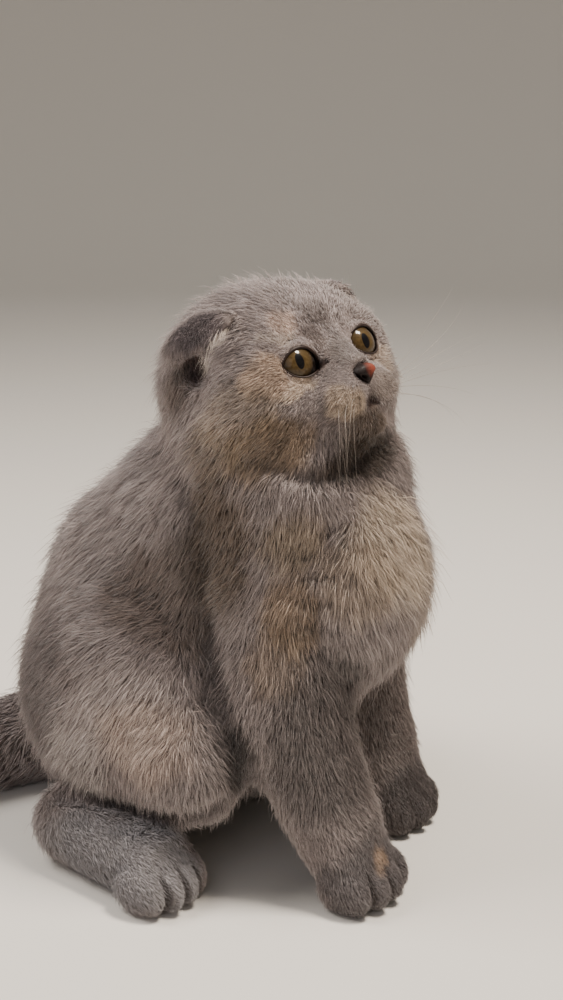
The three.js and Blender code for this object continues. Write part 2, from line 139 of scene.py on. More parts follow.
def on_head(points):
    """Places in millimetres from the head's middle, in metres in the frame."""
    return (np.asarray(points, float) @ HEAD_TURN.T + HEAD_PLACE) * MM


def body_mm(points):
    """Places in the frame, in millimetres from between the feet."""
    return points / MM - BODY_PLACE


def head_mm(points):
    """Places in the frame, in millimetres from the head's middle."""
    return (points / MM - HEAD_PLACE) @ HEAD_TURN


def unit(vectors):
    """The same directions, each one long."""
    return vectors / np.maximum(np.linalg.norm(vectors, axis=1, keepdims=True), 1e-9)


# How the coat lies on the head: place, direction, length, width, lift, tufts per
# square millimetre. The nose points along -Y, and rows off the middle are mirrored.
HEAD_LIE = [
    ((0, -37, -3.5), (0, 0.5, 1), 1.1, 0.17, 0.3, 7),
    ((0, -33, 0), (0, 0.5, 1), 1.5, 0.18, 0.3, 7),
    ((0, -28, 5), (0, 0.5, 1), 2.2, 0.2, 0.3, 6),
    ((0, -24, 14), (0, 0.6, 0.9), 2.6, 0.19, 0.45, 6.6),
    ((5, -25, 9), (0.35, 0.5, 0.9), 2.9, 0.22, 0.4, 5.5),
    ((14, -22, 11), (0.55, 0.6, 0.6), 2.5, 0.19, 0.4, 6.6),
    ((20, -20, 8), (0.7, 0.7, 0.3), 2.6, 0.19, 0.35, 6),
    ((0, -13, 27), (0, 1, 0.35), 4.3, 0.21, 0.5, 4.8),
    ((11, -14, 24), (0.3, 1, 0.2), 4, 0.21, 0.5, 5),
    ((0, 5, 34), (0, 1, -0.1), 5, 0.24, 0.5, 4),
    ((15, 4, 31), (0.25, 1, -0.1), 4.7, 0.24, 0.45, 4),
    ((0, 25, 25), (0, 0.6, -0.8), 5.8, 0.28, 0.5, 2.9),
    ((18, 22, 18), (0.1, 0.6, -0.8), 5.8, 0.28, 0.5, 2.9),
    ((24, -20, 3), (0.5, 0.85, 0), 2.9, 0.19, 0.3, 6),
    ((22, -25, -5), (0.6, 0.75, -0.25), 2.6, 0.19, 0.3, 6),
    ((13, -29, -7), (0.75, 0.45, -0.45), 2.2, 0.19, 0.25, 6.5),
    ((6, -31, -2), (0.7, 0.4, -0.3), 1.5, 0.18, 0.25, 7),
    ((4, -36, -12), (0.75, 0.2, -0.6), 1.3, 0.17, 0.25, 7.5),
    ((9, -38, -14), (0.7, 0.5, -0.55), 1.2, 0.17, 0.25, 8),
    ((15, -32, -16), (0.5, 0.7, -0.5), 2.1, 0.19, 0.28, 6.6),
    ((27, -20, -12), (0.35, 0.85, -0.4), 4, 0.21, 0.35, 5),
    ((33, -8, -12), (0.1, 0.85, -0.55), 5, 0.24, 0.38, 4.1),
    ((31, 8, -8), (0, 0.75, -0.65), 5.8, 0.26, 0.42, 3.4),
    ((28, -8, -24), (0, 0.6, -0.8), 5.8, 0.26, 0.4, 3.6),
    ((17, -22, -26), (0.1, 0.65, -0.75), 4.3, 0.22, 0.35, 4.6),
    ((0, -35, -22), (0, 0.35, -0.95), 2, 0.19, 0.35, 6),
    ((6, -31, -27), (0.2, 0.6, -0.8), 2.6, 0.19, 0.4, 6),
    ((0, -24, -31), (0, 0.5, -0.85), 4.7, 0.23, 0.4, 4.1),
    ((13.5, -26.5, 7.2), (0.3, 0.5, 0.8), 1.6, 0.18, 0.25, 7),
    ((14, -28, -6), (0.45, 0.3, -0.8), 1.5, 0.18, 0.22, 7.5),
    ((21.5, -23.5, 1), (0.7, 0.6, -0.1), 1.8, 0.18, 0.25, 7),
    ((6.5, -28.5, 2), (-0.3, 0.5, 0.85), 1.3, 0.17, 0.25, 7),
    ((26.5, -15.5, 13), (0.3, 0.5, -0.8), 6.8, 0.21, 0.4, 7.2),
    ((25, -12, 20), (0.7, 0.35, -0.15), 2.3, 0.2, 0.35, 6),
    ((31, -12, 18), (0.75, -0.1, -0.65), 2.2, 0.2, 0.3, 6),
    ((31, 2, 21), (0.8, 0.1, -0.55), 2.3, 0.2, 0.35, 6),
    ((35, -6, 14), (0.3, -0.2, -0.95), 1.6, 0.19, 0.25, 6.6),
    ((31, 10, 10), (0.2, 0.6, -0.8), 3.6, 0.21, 0.4, 4.8),
]

# And on the trunk, from between the feet, with rows off the middle mirrored too
TRUNK_LIE = [
    ((0, 24, 138), (0, 0.5, -0.85), 6.4, 0.25, 0.45, 3.2),
    ((22, 12, 132), (0.2, 0.6, -0.8), 6.4, 0.25, 0.45, 3.2),
    ((34, -8, 134), (0, 0.5, -0.85), 6.1, 0.23, 0.4, 4),
    ((24, -38, 128), (0, 0.25, -0.97), 6.1, 0.23, 0.42, 4.4),
    ((0, -44, 124), (0, 0.05, -1), 6.4, 0.24, 0.45, 4.4),
    ((0, 50, 118), (0, 0.5, -0.86), 7.2, 0.3, 0.42, 2.6),
    ((0, 74, 90), (0, 0.3, -0.95), 7.2, 0.32, 0.4, 2.4),
    ((0, 88, 55), (0, 0.25, -0.97), 7.2, 0.32, 0.4, 2.2),
    ((28, 40, 112), (0.15, 0.5, -0.85), 7.2, 0.3, 0.4, 2.5),
    ((34, 62, 76), (0.1, 0.45, -0.9), 7.2, 0.32, 0.38, 2.2),
    ((36, 78, 36), (0, 0.5, -0.85), 6.8, 0.32, 0.35, 2.1),
    ((37, -12, 110), (0, 0.45, -0.9), 6.8, 0.28, 0.4, 2.9),
    ((41, 14, 100), (0, 0.6, -0.8), 6.8, 0.3, 0.38, 2.6),
    ((42, 30, 84), (0, 0.65, -0.75), 6.8, 0.3, 0.36, 2.5),
    ((30, -38, 108), (0.1, 0.15, -1), 6.4, 0.25, 0.42, 3.8),
    ((0, -60, 100), (0, 0.05, -1), 6.8, 0.25, 0.45, 4),
    ((16, -56, 96), (-0.35, 0.1, -0.95), 6.4, 0.25, 0.42, 4),
    ((0, -50, 72), (0, 0.35, -0.95), 6.4, 0.25, 0.42, 3.2),
    ((36, -32, 82), (-0.1, 0.05, -1), 6.1, 0.25, 0.38, 3.5),
    ((0, 10, 20), (0, 0.5, -0.6), 5.1, 0.33, 0.3, 1.2),
    ((0, -25, 50), (0, 0.5, -0.8), 5.1, 0.33, 0.3, 1.6),
]
# The legs have rows for each side, since the left forepaw stands further back
LIMB_LIE = []
for side, lag in ((-1, 0), (1, 16)):
    LIMB_LIE += [
        ((side * 30, -48 + lag * 0.4, 66), (0, -0.15, -1), 5.1, 0.24, 0.36, 3.5),
        ((side * 42, -30 + lag * 0.5, 62), (0, 0.1, -1), 5.1, 0.24, 0.36, 3.2),
        ((side * 27, -55 + lag * 0.8, 44), (0, -0.3, -0.95), 4, 0.22, 0.34, 4.1),
        ((side * 40, -38 + lag * 0.8, 40), (0, -0.1, -1), 4.3, 0.22, 0.36, 4),
        ((side * 12, -38 + lag * 0.8, 40), (0, -0.2, -1), 4.3, 0.22, 0.34, 3.1),
        ((side * 26, -25 + lag, 36), (0, 0.15, -1), 4.7, 0.24, 0.36, 2.9),
        ((side * 27, -62 + lag, 24), (0, -0.6, -0.8), 2.8, 0.2, 0.3, 5.9),
        ((side * 39, -52 + lag, 16), (0.1 * side, -0.6, -0.8), 2.7, 0.2, 0.3, 5.9),
        ((side * 26, -68 + lag, 14), (0, -0.9, -0.5), 1.7, 0.2, 0.26, 8.5),
        ((side * 26, -72 + lag, 5), (0, -0.4, -0.9), 1.4, 0.2, 0.25, 8.5),
        ((side * 26, -44 + lag, 8), (0, 0.2, -1), 2.7, 0.2, 0.3, 4.7),
        ((side * 58, -2, 58), (0, 0.3, -0.95), 5.7, 0.28, 0.38, 2.9),
        ((side * 58, 24, 62), (0, 0.45, -0.9), 6.4, 0.3, 0.38, 2.6),
        ((side * 62, 30, 36), (0, 0.5, -0.85), 6.1, 0.28, 0.38, 2.6),
        ((side * 50, -20, 44), (0, -0.1, -1), 5.1, 0.25, 0.36, 3.2),
        ((side * 62, 0, 28), (0, 0.15, -1), 5.4, 0.25, 0.38, 3.2),
        ((side * 45, 56, 40), (0, 0.4, -0.9), 6.4, 0.3, 0.38, 2.2),
        ((side * 60, 38, 14), (0, -0.4, -0.5), 3.6, 0.23, 0.34, 3.8),
        ((side * 68, 14, 15), (0, -0.95, -0.3), 3.1, 0.2, 0.32, 4.8),
        ((side * 66, -6, 16), (0, -1, -0.2), 2.2, 0.2, 0.28, 7.1),
        ((side * 61, -18, 10), (0, -0.8, -0.6), 1.6, 0.2, 0.25, 8.5),
        ((side * 50, 5, 14), (0, -1, -0.2), 2.7, 0.21, 0.3, 4),
    ]
TAIL_LIE = [
    ((-2, 70, 34), (-0.2, 0.6, -0.75), 6.4, 0.3, 0.38, 2.5),
    ((-14, 88, 26), (-0.8, 0.5, -0.3), 6.4, 0.28, 0.36, 2.8),
    ((-38, 102, 20), (-0.95, 0.3, -0.1), 6.1, 0.28, 0.36, 2.9),
    ((-66, 110, 16), (-1, 0, -0.1), 5.7, 0.27, 0.36, 3.1),
    ((-92, 106, 14), (-0.9, -0.4, -0.1), 5.4, 0.25, 0.36, 3.2),
    ((-112, 92, 8), (-0.8, -0.6, 0), 4.3, 0.23, 0.34, 3.8),
]


def mirrored(rows):
    """The rows as plain lists, each row off the middle followed by its mirror."""
    for (x, y, z), (across, back, up), *sizes in rows:
        yield (x, y, z, across, back, up, *sizes)
        if x > 0:
            yield (-x, y, z, -across, back, up, *sizes)


head_rows = np.array(list(mirrored(HEAD_LIE)))
body_rows = np.array(
    list(mirrored(TRUNK_LIE))
    + [(*place, *way, *sizes) for place, way, *sizes in LIMB_LIE + TAIL_LIE]
)
LIE_PLACES = np.vstack([on_head(head_rows[:, :3]), on_body(body_rows[:, :3])])
LIE_WAYS = unit(np.vstack([head_rows[:, 3:6] @ HEAD_TURN.T, body_rows[:, 3:6]]))
LIE_SIZES = np.vstack([head_rows[:, 6:], body_rows[:, 6:]])


# So many places at once, since each is measured against every row
BATCH = 20000


def coat_at(points):
    """Direction of the hair, then length, width, lift and tufts per square mm."""
    ways = np.empty((len(points), 3))
    sizes = np.empty((len(points), 4))
    for start in range(0, len(points), BATCH):
        part = slice(start, start + BATCH)
        gap = ((points[part, None] - LIE_PLACES[None]) ** 2).sum(2) / MM**2
        share = 1 / (gap + 4) ** 2.2
        share /= share.sum(1, keepdims=True)
        ways[part] = share @ LIE_WAYS
        sizes[part] = share @ LIE_SIZES
    return unit(ways), sizes


def read(items, what, width):
    """A value of every vertex or loop of a mesh, as rows of so many numbers."""
    values = np.empty(len(items) * width, np.float32)
    items.foreach_get(what, values)
    return values.reshape(-1, width).astype(float)


def relaxed(points, edges, share, times):
    """Each point drawn towards the mean of its neighbours, some times over."""
    ends = np.concatenate([edges[:, 0], edges[:, 1]])
    others = np.concatenate([edges[:, 1], edges[:, 0]])
    count = np.bincount(ends, minlength=len(points))[:, None]
    for _ in range(times):
        around = np.stack(
            [np.bincount(ends, points[others, i], len(points)) for i in range(3)], axis=1
        )
        points = points + share * (around / np.maximum(count, 1) - points)
    return points


FLESH = ["head", "neck", "torso", "tail", "ear_right", "ear_left"] + [
    limb + "_" + side
    for limb in ("foreleg", "forepaw", "hindleg", "hindpaw")
    for side in ("right", "left")
]


def placed(name, data):
    """A new object in the scene."""
    made = bpy.data.objects.new(name, data)
    bpy.context.collection.objects.link(made)
    return made


def pick(*pieces):
    """Selects these pieces alone, the last of them active."""
    bpy.ops.object.select_all(action="DESELECT")
    for piece in pieces:
        piece.select_set(True)
    bpy.context.view_layer.objects.active = pieces[-1]


def closed_over(piece, grain):
    """One shell of even quads round all that the piece holds."""
    shell = piece.modifiers.new("shell", "REMESH")
    shell.mode = "VOXEL"
    shell.voxel_size = grain
    bpy.ops.object.modifier_apply(modifier="shell")


pick(*[placed("flesh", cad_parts[name].data.copy()) for name in FLESH])
bpy.ops.object.join()
skin = bpy.context.active_object
skin.name = "skin"
bpy.ops.object.mode_set(mode="EDIT")
bpy.ops.mesh.select_all(action="SELECT")
bpy.ops.mesh.remove_doubles(threshold=0.01 * MM)
# The parts swell until the thin cuts between them are gone
bpy.ops.transform.shrink_fatten(value=0.5 * MM)
bpy.ops.object.mode_set(mode="OBJECT")
closed_over(skin, 0.9 * MM)

EYES = {
    "right": {"side": -1, "gaze": (-0.37, -0.925, 0.09)},
    "left": {"side": 1, "gaze": (-0.15, -0.985, 0.06)},
}
EYE_RADIUS = 8.2
# How far the lids reach from the middle of a ball, in millimetres
LID_REACH = 13
for eye in EYES.values():
    eye["place"] = np.array([eye["side"] * 14.2, -20.8, 0])
eye_places = on_head([eye["place"] for eye in EYES.values()])

# Places where the hide lies deeper than the coat alone would take it: the inner
# corners of the eyes, the mouth and the front of the paws
HOLLOWS = [
    # frame, place, reach, depth
    ("head", (-12, -27.5, 3), (4, 4, 4), 1.2),
    ("head", (12, -27.5, 3), (4, 4, 4), 1.2),
    ("head", (0, -34, -17), (7, 5, 3), 1.5),
    ("body", (-25, -66, 12), (19, 11, 15), 4.2),
    ("body", (26, -50, 12), (19, 11, 15), 4.2),
    ("body", (-62, -17, 12), (17, 11, 15), 3.8),
    ("body", (58, -14, 12), (17, 11, 15), 3.8),
]
# And the folds between one part of the body and the next, as lines: flank, thigh,
# breastbone and throat
FOLDS = [
    # reach, depth, how much painted shade darkens it, places on the body
    (9, 3.2, 0.55, [(-36, 2, 126), (-38, -3, 112), (-38.5, -6, 95), (-38.5, -8, 80),
                    (-42, -14, 68), (-45.5, -21, 54), (-44, -25, 42)]),
    (5.5, 3.6, 0.55, [(-62, 36, 24), (-60, 28, 25), (-57, 17, 25), (-56, 2.7, 26),
                      (-56, -14, 29), (-49, -22, 33)]),
    (6, 1.8, 0.3, [(-22, -45, 118), (-24, -46, 112), (-27, -46, 102), (-29, -45, 94),
                   (-30, -44, 86), (-26, -47, 78), (-18, -48, 69)]),
    (4.4, 1.3, 0.3, [(-34, -28, 138), (-32, -33, 136), (-30, -36, 134),
                     (-25, -40.5, 132.7), (-18, -43, 133), (-9, -44, 135),
                     (2, -43.5, 137), (14, -40, 138), (26, -34, 138)]),
]
for reach, depth, dark, line in FOLDS[:3]:
    FOLDS.append((reach, depth, dark, [(-x, y, z) for x, y, z in line]))


def from_line(points, line):
    """How far places in the frame lie from a line on the body, in millimetres."""
    local = body_mm(points)
    nearest = np.full(len(points), 99.0)
    for start, end in itertools.pairwise(np.array(line, float)):
        along = (local - start) @ (end - start) / ((end - start) @ (end - start))
        foot = start + np.clip(along, 0, 1)[:, None] * (end - start)
        nearest = np.minimum(nearest, np.linalg.norm(local - foot, axis=1))
    return nearest[:, None]


def hollow_at(points):
    """How much deeper the hide lies in the hollows and folds, in millimetres."""
    total = np.zeros((len(points), 1))
    for part, place, reach, depth in HOLLOWS:
        local = head_mm(points) if part == "head" else body_mm(points)
        away = np.linalg.norm((local - place) / reach, axis=1)[:, None]
        total = np.maximum(total, depth * np.clip(1.3 - away, 0, 1) ** 1.2)
    for reach, depth, _, line in FOLDS:
        near = np.clip(1 - from_line(points, line) / reach, 0, 1)
        total = np.maximum(total, depth * near * near * (3 - 2 * near))
    return total


def edges_of(mesh):
    """The two vertices of every edge."""
    edges = np.empty(len(mesh.edges) * 2, np.int32)
    mesh.edges.foreach_get("vertices", edges)
    return edges.reshape(-1, 2)


mesh = skin.data
edges = edges_of(mesh)
points = read(mesh.vertices, "co", 3)
to_eye = np.min(
    [np.linalg.norm(points - place, axis=1) for place in eye_places], axis=0
)[:, None]
near_eye = np.clip((LID_REACH * MM - to_eye) / (3 * MM), 0, 1)
points = relaxed(points, edges, 0.5, 4)
# The hide sinks by as much as the coat stands up from it, and near the eyes by little
# more than a millimetre. Under the paws and the rump it stays just above the floor.
SINK_STEPS = 5
FLOOR_GAP = 0.0003
for _ in range(SINK_STEPS):
    mesh.vertices.foreach_set("co", points.ravel())
    mesh.update()
    normals = read(mesh.vertices, "normal", 3)
    sizes = coat_at(points)[1]
    depth = sizes[:, :1] * sizes[:, 2:3] * 0.85 * (1 - near_eye) + 1.1 * near_eye
    depth = (depth + hollow_at(points)) * MM / SINK_STEPS
    points = relaxed(points - normals * depth, edges, 0.25, 1)
points[:, 2] = np.maximum(points[:, 2], FLOOR_GAP)
mesh.vertices.foreach_set("co", points.ravel())
mesh.update()

# Rounded forms that are set into the hide: toes, whisker pads, chin and ear flaps


def lump(place, radii, turn=(0, 0, 0), on=on_body):
    """An egg of flesh joined to the skin, its place and radii in millimetres."""
    bpy.ops.mesh.primitive_uv_sphere_add(segments=24, ring_count=16, radius=1)
    egg = bpy.context.active_object
    egg.scale = np.array(radii) * MM
    matrix = Matrix.Rotation(turn[2], 3, "Z") @ Matrix.Rotation(turn[0], 3, "X")
    if on is on_head:
        matrix = Matrix(HEAD_TURN.tolist()) @ matrix
    egg.rotation_euler = matrix.to_euler()
    egg.location = on([place])[0]
    return egg


def spline(ends, t):
    """A smooth curve through four places."""
    knots = np.array([0, 1, 2, 3]) / 3
    total = 0
    for i, place in enumerate(ends):
        others = np.delete(knots, i)
        weight = np.prod([(t - k) / (knots[i] - k) for k in others], axis=0)
        total = total + np.outer(weight, place)
    return total


# The left ear's root, fold and rim, each from front to back; the right one mirrors it
EAR_BASE = [(22.5, -14, 17.5), (23, -7, 21.5), (23, 2, 21.5), (25, 9, 16)]
EAR_FOLD = [(26, -17, 19.5), (31, -8.5, 22.5), (32.5, 3, 21.8), (32, 12, 17)]
EAR_RIM = [(26.5, -15, 17), (33.5, -10, 13.3), (35, -1, 12.2), (31.5, 8, 13.8)]
EAR_COLUMNS, EAR_ROWS = 28, 16


def woven(name, rows, ring=True, closed=False):
    """A surface on the head through rows of equally many places. A row may close on
    itself as a ring, and the last row may join the first."""
    wide, high = len(rows[0]), len(rows)
    quads = [
        (j * wide + i, j * wide + (i + 1) % wide,
         (j + 1) % high * wide + (i + 1) % wide, (j + 1) % high * wide + i)
        for j in range(high if closed else high - 1)
        for i in range(wide if ring else wide - 1)
    ]
    mesh = bpy.data.meshes.new(name)
    mesh.from_pydata(on_head(np.vstack(rows)).tolist(), [], quads)
    return placed(name, mesh)


def turn_outward(piece):
    """Makes every face of a closed piece point outwards."""
    pick(piece)
    bpy.ops.object.mode_set(mode="EDIT")
    bpy.ops.mesh.select_all(action="SELECT")
    bpy.ops.mesh.normals_make_consistent(inside=False)
    bpy.ops.object.mode_set(mode="OBJECT")


def ear_flap(side):
    """The flap, from its root over the fold to its rim, as an even shell."""
    t = np.linspace(0, 1, EAR_COLUMNS + 1)
    base, fold, rim = (spline(c, t) * (side, 1, 1) for c in (EAR_BASE, EAR_FOLD, EAR_RIM))
    rows = [
        base * (1 - down) ** 2 + fold * 2 * down * (1 - down) + rim * down**2
        for down in np.linspace(0, 1, EAR_ROWS + 1)
    ]
    flap = woven("flap", rows, ring=False)
    pick(flap)
    wall = flap.modifiers.new("wall", "SOLIDIFY")
    wall.thickness = 1.9 * MM
    wall.offset = 0
    bpy.ops.object.modifier_apply(modifier="wall")
    turn_outward(flap)
    return flap


TOE_GAPS = []


def toes(x, y, heading, spread, radius):
    """Four long eggs side by side, the middle two furthest forward."""
    made = []
    for n, t in enumerate(np.linspace(-1, 1, 7)):
        ahead = 3 * (1 - t * t) - 2.2
        place = (
            x + t * spread * math.cos(heading) + ahead * math.sin(heading),
            y + t * spread * math.sin(heading) - ahead * math.cos(heading),
            7.0,
        )
        if n % 2:
            TOE_GAPS.append((place[0], place[1] - 5, 8))
        else:
            made.append(lump(place, (radius, 8.8, 7.0), (0.12, 0, heading - 0.15 * t)))
    return made


forms = [ear_flap(-1), ear_flap(1)]
forms += toes(-25, -60.3, -0.08, 10.8, 3.9) + toes(26, -44.3, 0.1, 10.8, 3.9)
forms += toes(-62, -9.6, -0.12, 10, 3.7) + toes(58, -6.6, 0.12, 10, 3.7)
for side in (-1, 1):
    forms.append(lump((side * 6.8, -31.3, -13.8), (7.4, 6.8, 5.9), on=on_head))
forms.append(lump((0, -30.6, -22.3), (6, 5.6, 4.6), (0.3, 0, 0), on=on_head))
pick(*forms, skin)
bpy.ops.object.join()
closed_over(skin, 0.8 * MM)
mesh = skin.data
points = read(mesh.vertices, "co", 3)
points = relaxed(points, edges_of(mesh), 0.45, 2)
points[:, 2] = np.maximum(points[:, 2], FLOOR_GAP)
mesh.vertices.foreach_set("co", points.ravel())
mesh.update()

# Then it is thinned evenly, to about so many triangles without the lids
SKIN_FACES = 193000
thin = skin.modifiers.new("thin", "DECIMATE")
thin.ratio = SKIN_FACES / (2 * len(mesh.polygons))
bpy.ops.object.modifier_apply(modifier="thin")

# The lids: a smooth band round each opening, which closes on the ball
LIDS = {
    # side: width, height, depth for the height, slant, reach of the tear corner, and
    # turns about the upright and about the line from eye to eye
    -1: (12.9, 8.5, 0.63, 0.13, (1.7, -2), -0.2, 0.024),
    1: (13.2, 8.6, 0.68, -0.17, (0.4, 0), 0.06, -0.089),
}


def bezier(ends, handles, t):
    """Places along a curve between two ends, drawn towards two handles."""
    (a, d), (b, c) = ends, handles
    parts = [(1 - t) ** 3, 3 * t * (1 - t) ** 2, 3 * t * t * (1 - t), t**3]
    return sum(np.outer(w, p) for w, p in zip(parts, map(np.array, (a, b, c, d))))


def lid_line(side):
    """The almond of the opening, seen from before the eye, and its bare rim's width."""
    w, h, low, slant, tear, *_ = LIDS[side]
    w /= 2
    t = np.linspace(0, 1, 33)[:-1]
    above = bezier([(-w, 0), (w, 0)], [(-0.68 * w, 0.7 * h), (0.68 * w, 0.7 * h)], t)
    below = bezier([(w, 0), (-w, 0)], [(0.7 * w, -low * h), (-0.7 * w, -low * h)], t)
    ring = np.vstack([above, below])
    # The tear corner runs on a little towards the nose
    inner = np.clip(-side * ring[:, 0] / w, 0, 1) ** 5
    ring += inner[:, None] * (-side * tear[0], tear[1])
    rim = 0.25 + 0.45 * np.clip(ring[:, 1] / h * 2, 0, 1) + 0.5 * inner
    c, s = math.cos(side * slant), math.sin(side * slant)
    return ring @ np.array([[c, s], [-s, c]]), rim


EYE_TURN = {
    side: np.array(Matrix.Rotation(about_x, 3, "X") @ Matrix.Rotation(about_z, 3, "Z"))
    for side, (*_, about_z, about_x) in LIDS.items()
}
# A lid's edge never reaches past this share of the ball's outline
BALL_EDGE = 0.985


def lid_edge(side, grow, radius):
    """Places round the opening, some way outside it and so far from the ball's
    middle, in millimetres."""
    line, rim = lid_line(side)
    away = np.hypot(*line.T)
    line = line * ((away + grow) / away)[:, None]
    away = away + grow
    line *= np.minimum(1, BALL_EDGE * radius / away)[:, None]
    y = -np.sqrt(radius**2 - (line**2).sum(axis=1))
    return np.stack([line[:, 0], y, line[:, 1]], axis=1) @ EYE_TURN[side].T


def beyond_lid(side, off):
    """How far outside the opening places near an eye lie, seen from before it."""
    flat = off @ EYE_TURN[side]
    line, rim = lid_line(side)
    turn = np.arctan2(line[:, 1], line[:, 0])
    edge = np.interp(
        np.arctan2(flat[:, 2], flat[:, 0]), turn, np.hypot(*line.T), period=2 * math.pi
    )
    return np.where(flat[:, 1] < 0, np.hypot(flat[:, 0], flat[:, 2]) - edge, 99)


LID_STEPS = [
    # how far outside the bare rim, how far from the ball's middle
    (-0.3, 8.5), (-0.2, 8.8), (0.6, 8.95), (1.5, 8.8), (2.5, 8.2), (3.4, 7.3), (4.2, 6.5),
]
lids = []
for eye in EYES.values():
    side, rim = eye["side"], lid_line(eye["side"])[1]
    rings = [lid_edge(side, rim + grow, r) + eye["place"] for grow, r in LID_STEPS]
    lids.append(woven("lid", rings))
pick(*lids, skin)
bpy.ops.object.join()
split = skin.modifiers.new("split", "TRIANGULATE")
bpy.ops.object.modifier_apply(modifier="split")
bpy.ops.object.shade_smooth()

# The markings of a grey and cream kitten, with painted shade and painted light among them: patches
# with ragged edges, shared by the skin and the coat. The edges wander by random values on a grid.
GRAIN = np.random.default_rng(7).uniform(-1, 1, (24, 24, 24, 3))


def wander(points, size):
    """Smooth random values from -1 to 1, three to a point, over cells of a size."""
    place = points / (size * MM) + 100
    low = np.floor(place).astype(int)
    part = place - low
    part = part * part * (3 - 2 * part)
    total = np.zeros((len(points), 3))
    for corner in itertools.product((0, 1), repeat=3):
        share = np.prod(np.where(corner, part, 1 - part), axis=1)
        at = (low + corner) % len(GRAIN)
        total += share[:, None] * GRAIN[at[:, 0], at[:, 1], at[:, 2]]
    return total


GREY = "978d8b"
HEAD_PATCHES = [
    # place, reach along x, y and z, colour, strength
    ((0, -34, 0), (6, 8, 8), "8a8380", 0.7),
    ((0, -25, 12), (5.5, 6, 6), "5f5653", 0.7),
    ((9, -24, 13), (2.2, 6, 5), "6a6260", 0.55),
    ((-5, -20, 19), (2.6, 10, 5), "6f6764", 0.55),
    ((6, -14, 26), (3, 12, 5), "6f6764", 0.5),
    ((-9, -16, 25), (2, 9, 4), "6f6764", 0.45),
    ((-6.5, -28, 5.5), (3.2, 4, 3.6), "655b57", 0.65),
    ((-12.5, -24, 12.5), (5, 5, 4), "dcc3b3", 0.6),
    ((-18, -25, 8.5), (7, 5, 3), "cfc3b9", 0.55),
    ((-27, -24, -1), (6, 6, 5.5), "d4b592", 0.4),
    ((-20, -27, -6), (7, 5, 2.6), "e0cdb9", 0.7),
    ((19, -28, -6), (7, 6, 4), "c9b9aa", 0.6),
    ((-33, -17, -9), (10, 14, 9), "9c8b76", 0.5),
    ((-29, -20, -19), (12, 13, 10), "7f6847", 0.65),
    ((-36, -4, -16), (9, 12, 9), "8a7860", 0.5),
    ((-10.5, -36, -15), (7, 7, 6), "b3a28f", 0.85),
    ((8, -37, -14), (7, 7, 6), "9c918a", 0.7),
    ((-3, -33, -24), (8, 8, 5.5), "5c4e40", 0.8),
    # Painted shade under the chin, where the jaw overhangs the throat
    ((0, -28, -31), (26, 12, 6.5), "362a1e", 0.9),
    ((30, -12, -14), (11, 12, 10), "b29c82", 0.4),
    ((-32, -6, 19), (7.5, 12, 8), "574f53", 0.85),
    ((32, -6, 19), (7.5, 12, 8), "574f53", 0.85),
    ((-32, 9, 5), (6, 7, 7), "5d5047", 0.6),
    ((32, 9, 5), (6, 7, 7), "5d5047", 0.6),
    # The reddish skin inside each ear, darkened further with painted shade under the flap
    ((-28.5, -2, 8), (5.5, 9, 6.5), "4a2219", 0.97),
    ((28.5, -2, 8), (5.5, 9, 6.5), "4a2219", 0.97),
    # Painted shade in the crease along the front of each ear
    ((-25.5, -15, 17.5), (1.8, 3, 6), "5a5250", 0.5),
    ((25.5, -15, 17.5), (1.8, 3, 6), "5a5250", 0.5),
    # The dark lips where the mouth parts, with painted shade in the gap between the pads and chin
    ((0, -36, -17.5), (3.4, 4, 2.4), "2c1611", 0.9),
    ((-8.7, -29.3, -1.8), (3, 3.4, 1.4), "30201b", 0.9),
    ((8.7, -29.3, -1.8), (3, 3.4, 1.4), "30201b", 0.9),
]
BODY_PATCHES = [
    # Painted light on the top of the back, which faces the overhead lamps
    ((-20, 45, 108), (30, 44, 30), "a49c9b", 0.5),
    ((-31, -38, 116), (9, 12, 10), "93805f", 0.5),
    ((-33, -38, 96), (8, 10, 13), "917650", 0.5),
    ((-37, -34, 80), (8, 9, 12), "8a7355", 0.4),
    ((-4, -54, 113), (16, 14, 19), "dacbb9", 0.8),
    ((-18, -50, 105), (10, 14, 12), "ae9c88", 0.5),
    ((12, -52, 92), (14, 16, 18), "a79a8c", 0.5),
    # Painted shade on the near flank and near foreleg, which are turned from the light, and on the
    # inner side of the far foreleg
    ((-37, -12, 112), (12, 14, 24), "56452f", 0.75),
    ((-30, -48, 56), (20, 18, 28), "5e5755", 0.8),
    ((20, -44, 50), (18, 18, 26), "5f5652", 0.65),
    ((-60, 30, 40), (12, 16, 13), "b9b1ae", 0.6),
    # Painted shade low on the rump, and on the flank above and in front of the thigh
    ((-50, 52, 58), (18, 20, 24), "655d5c", 0.8),
    ((-40, 8, 92), (11, 20, 18), "6a5b50", 0.65),
    # Painted light on the top of the thigh, the second one warmer
    ((-58, 6, 60), (13, 22, 15), "bab0ad", 0.65),
    ((-60, 0, 54), (13, 15, 14), "cbb6a8", 0.5),
    ((42, 18, 66), (14, 20, 22), "ad8f6c", 0.5),
    ((12, 62, 104), (16, 14, 12), "ab9b8a", 0.4),
    ((56, 30, 40), (14, 14, 12), "b5a38f", 0.5),
    # Painted shade in the gap between the thigh and the near foreleg
    ((-45, -23, 47), (4.5, 9, 13), "2c2420", 0.8),
    ((-66, 0, 12), (14, 40, 14), "9c9ca0", 0.8),
    ((64, 0, 12), (14, 40, 14), "9a999b", 0.75),
    ((-26, -60, 8), (18, 16, 18), "666264", 0.8),
    # Painted shadow over the far forepaw
    ((26, -44, 8), (18, 16, 18), "474243", 0.85),
    ((-25, -66, 18.5), (5, 6, 5), "cfb193", 0.55),
    ((-60, 104, 14), (70, 26, 20), "7f7573", 0.5),
]
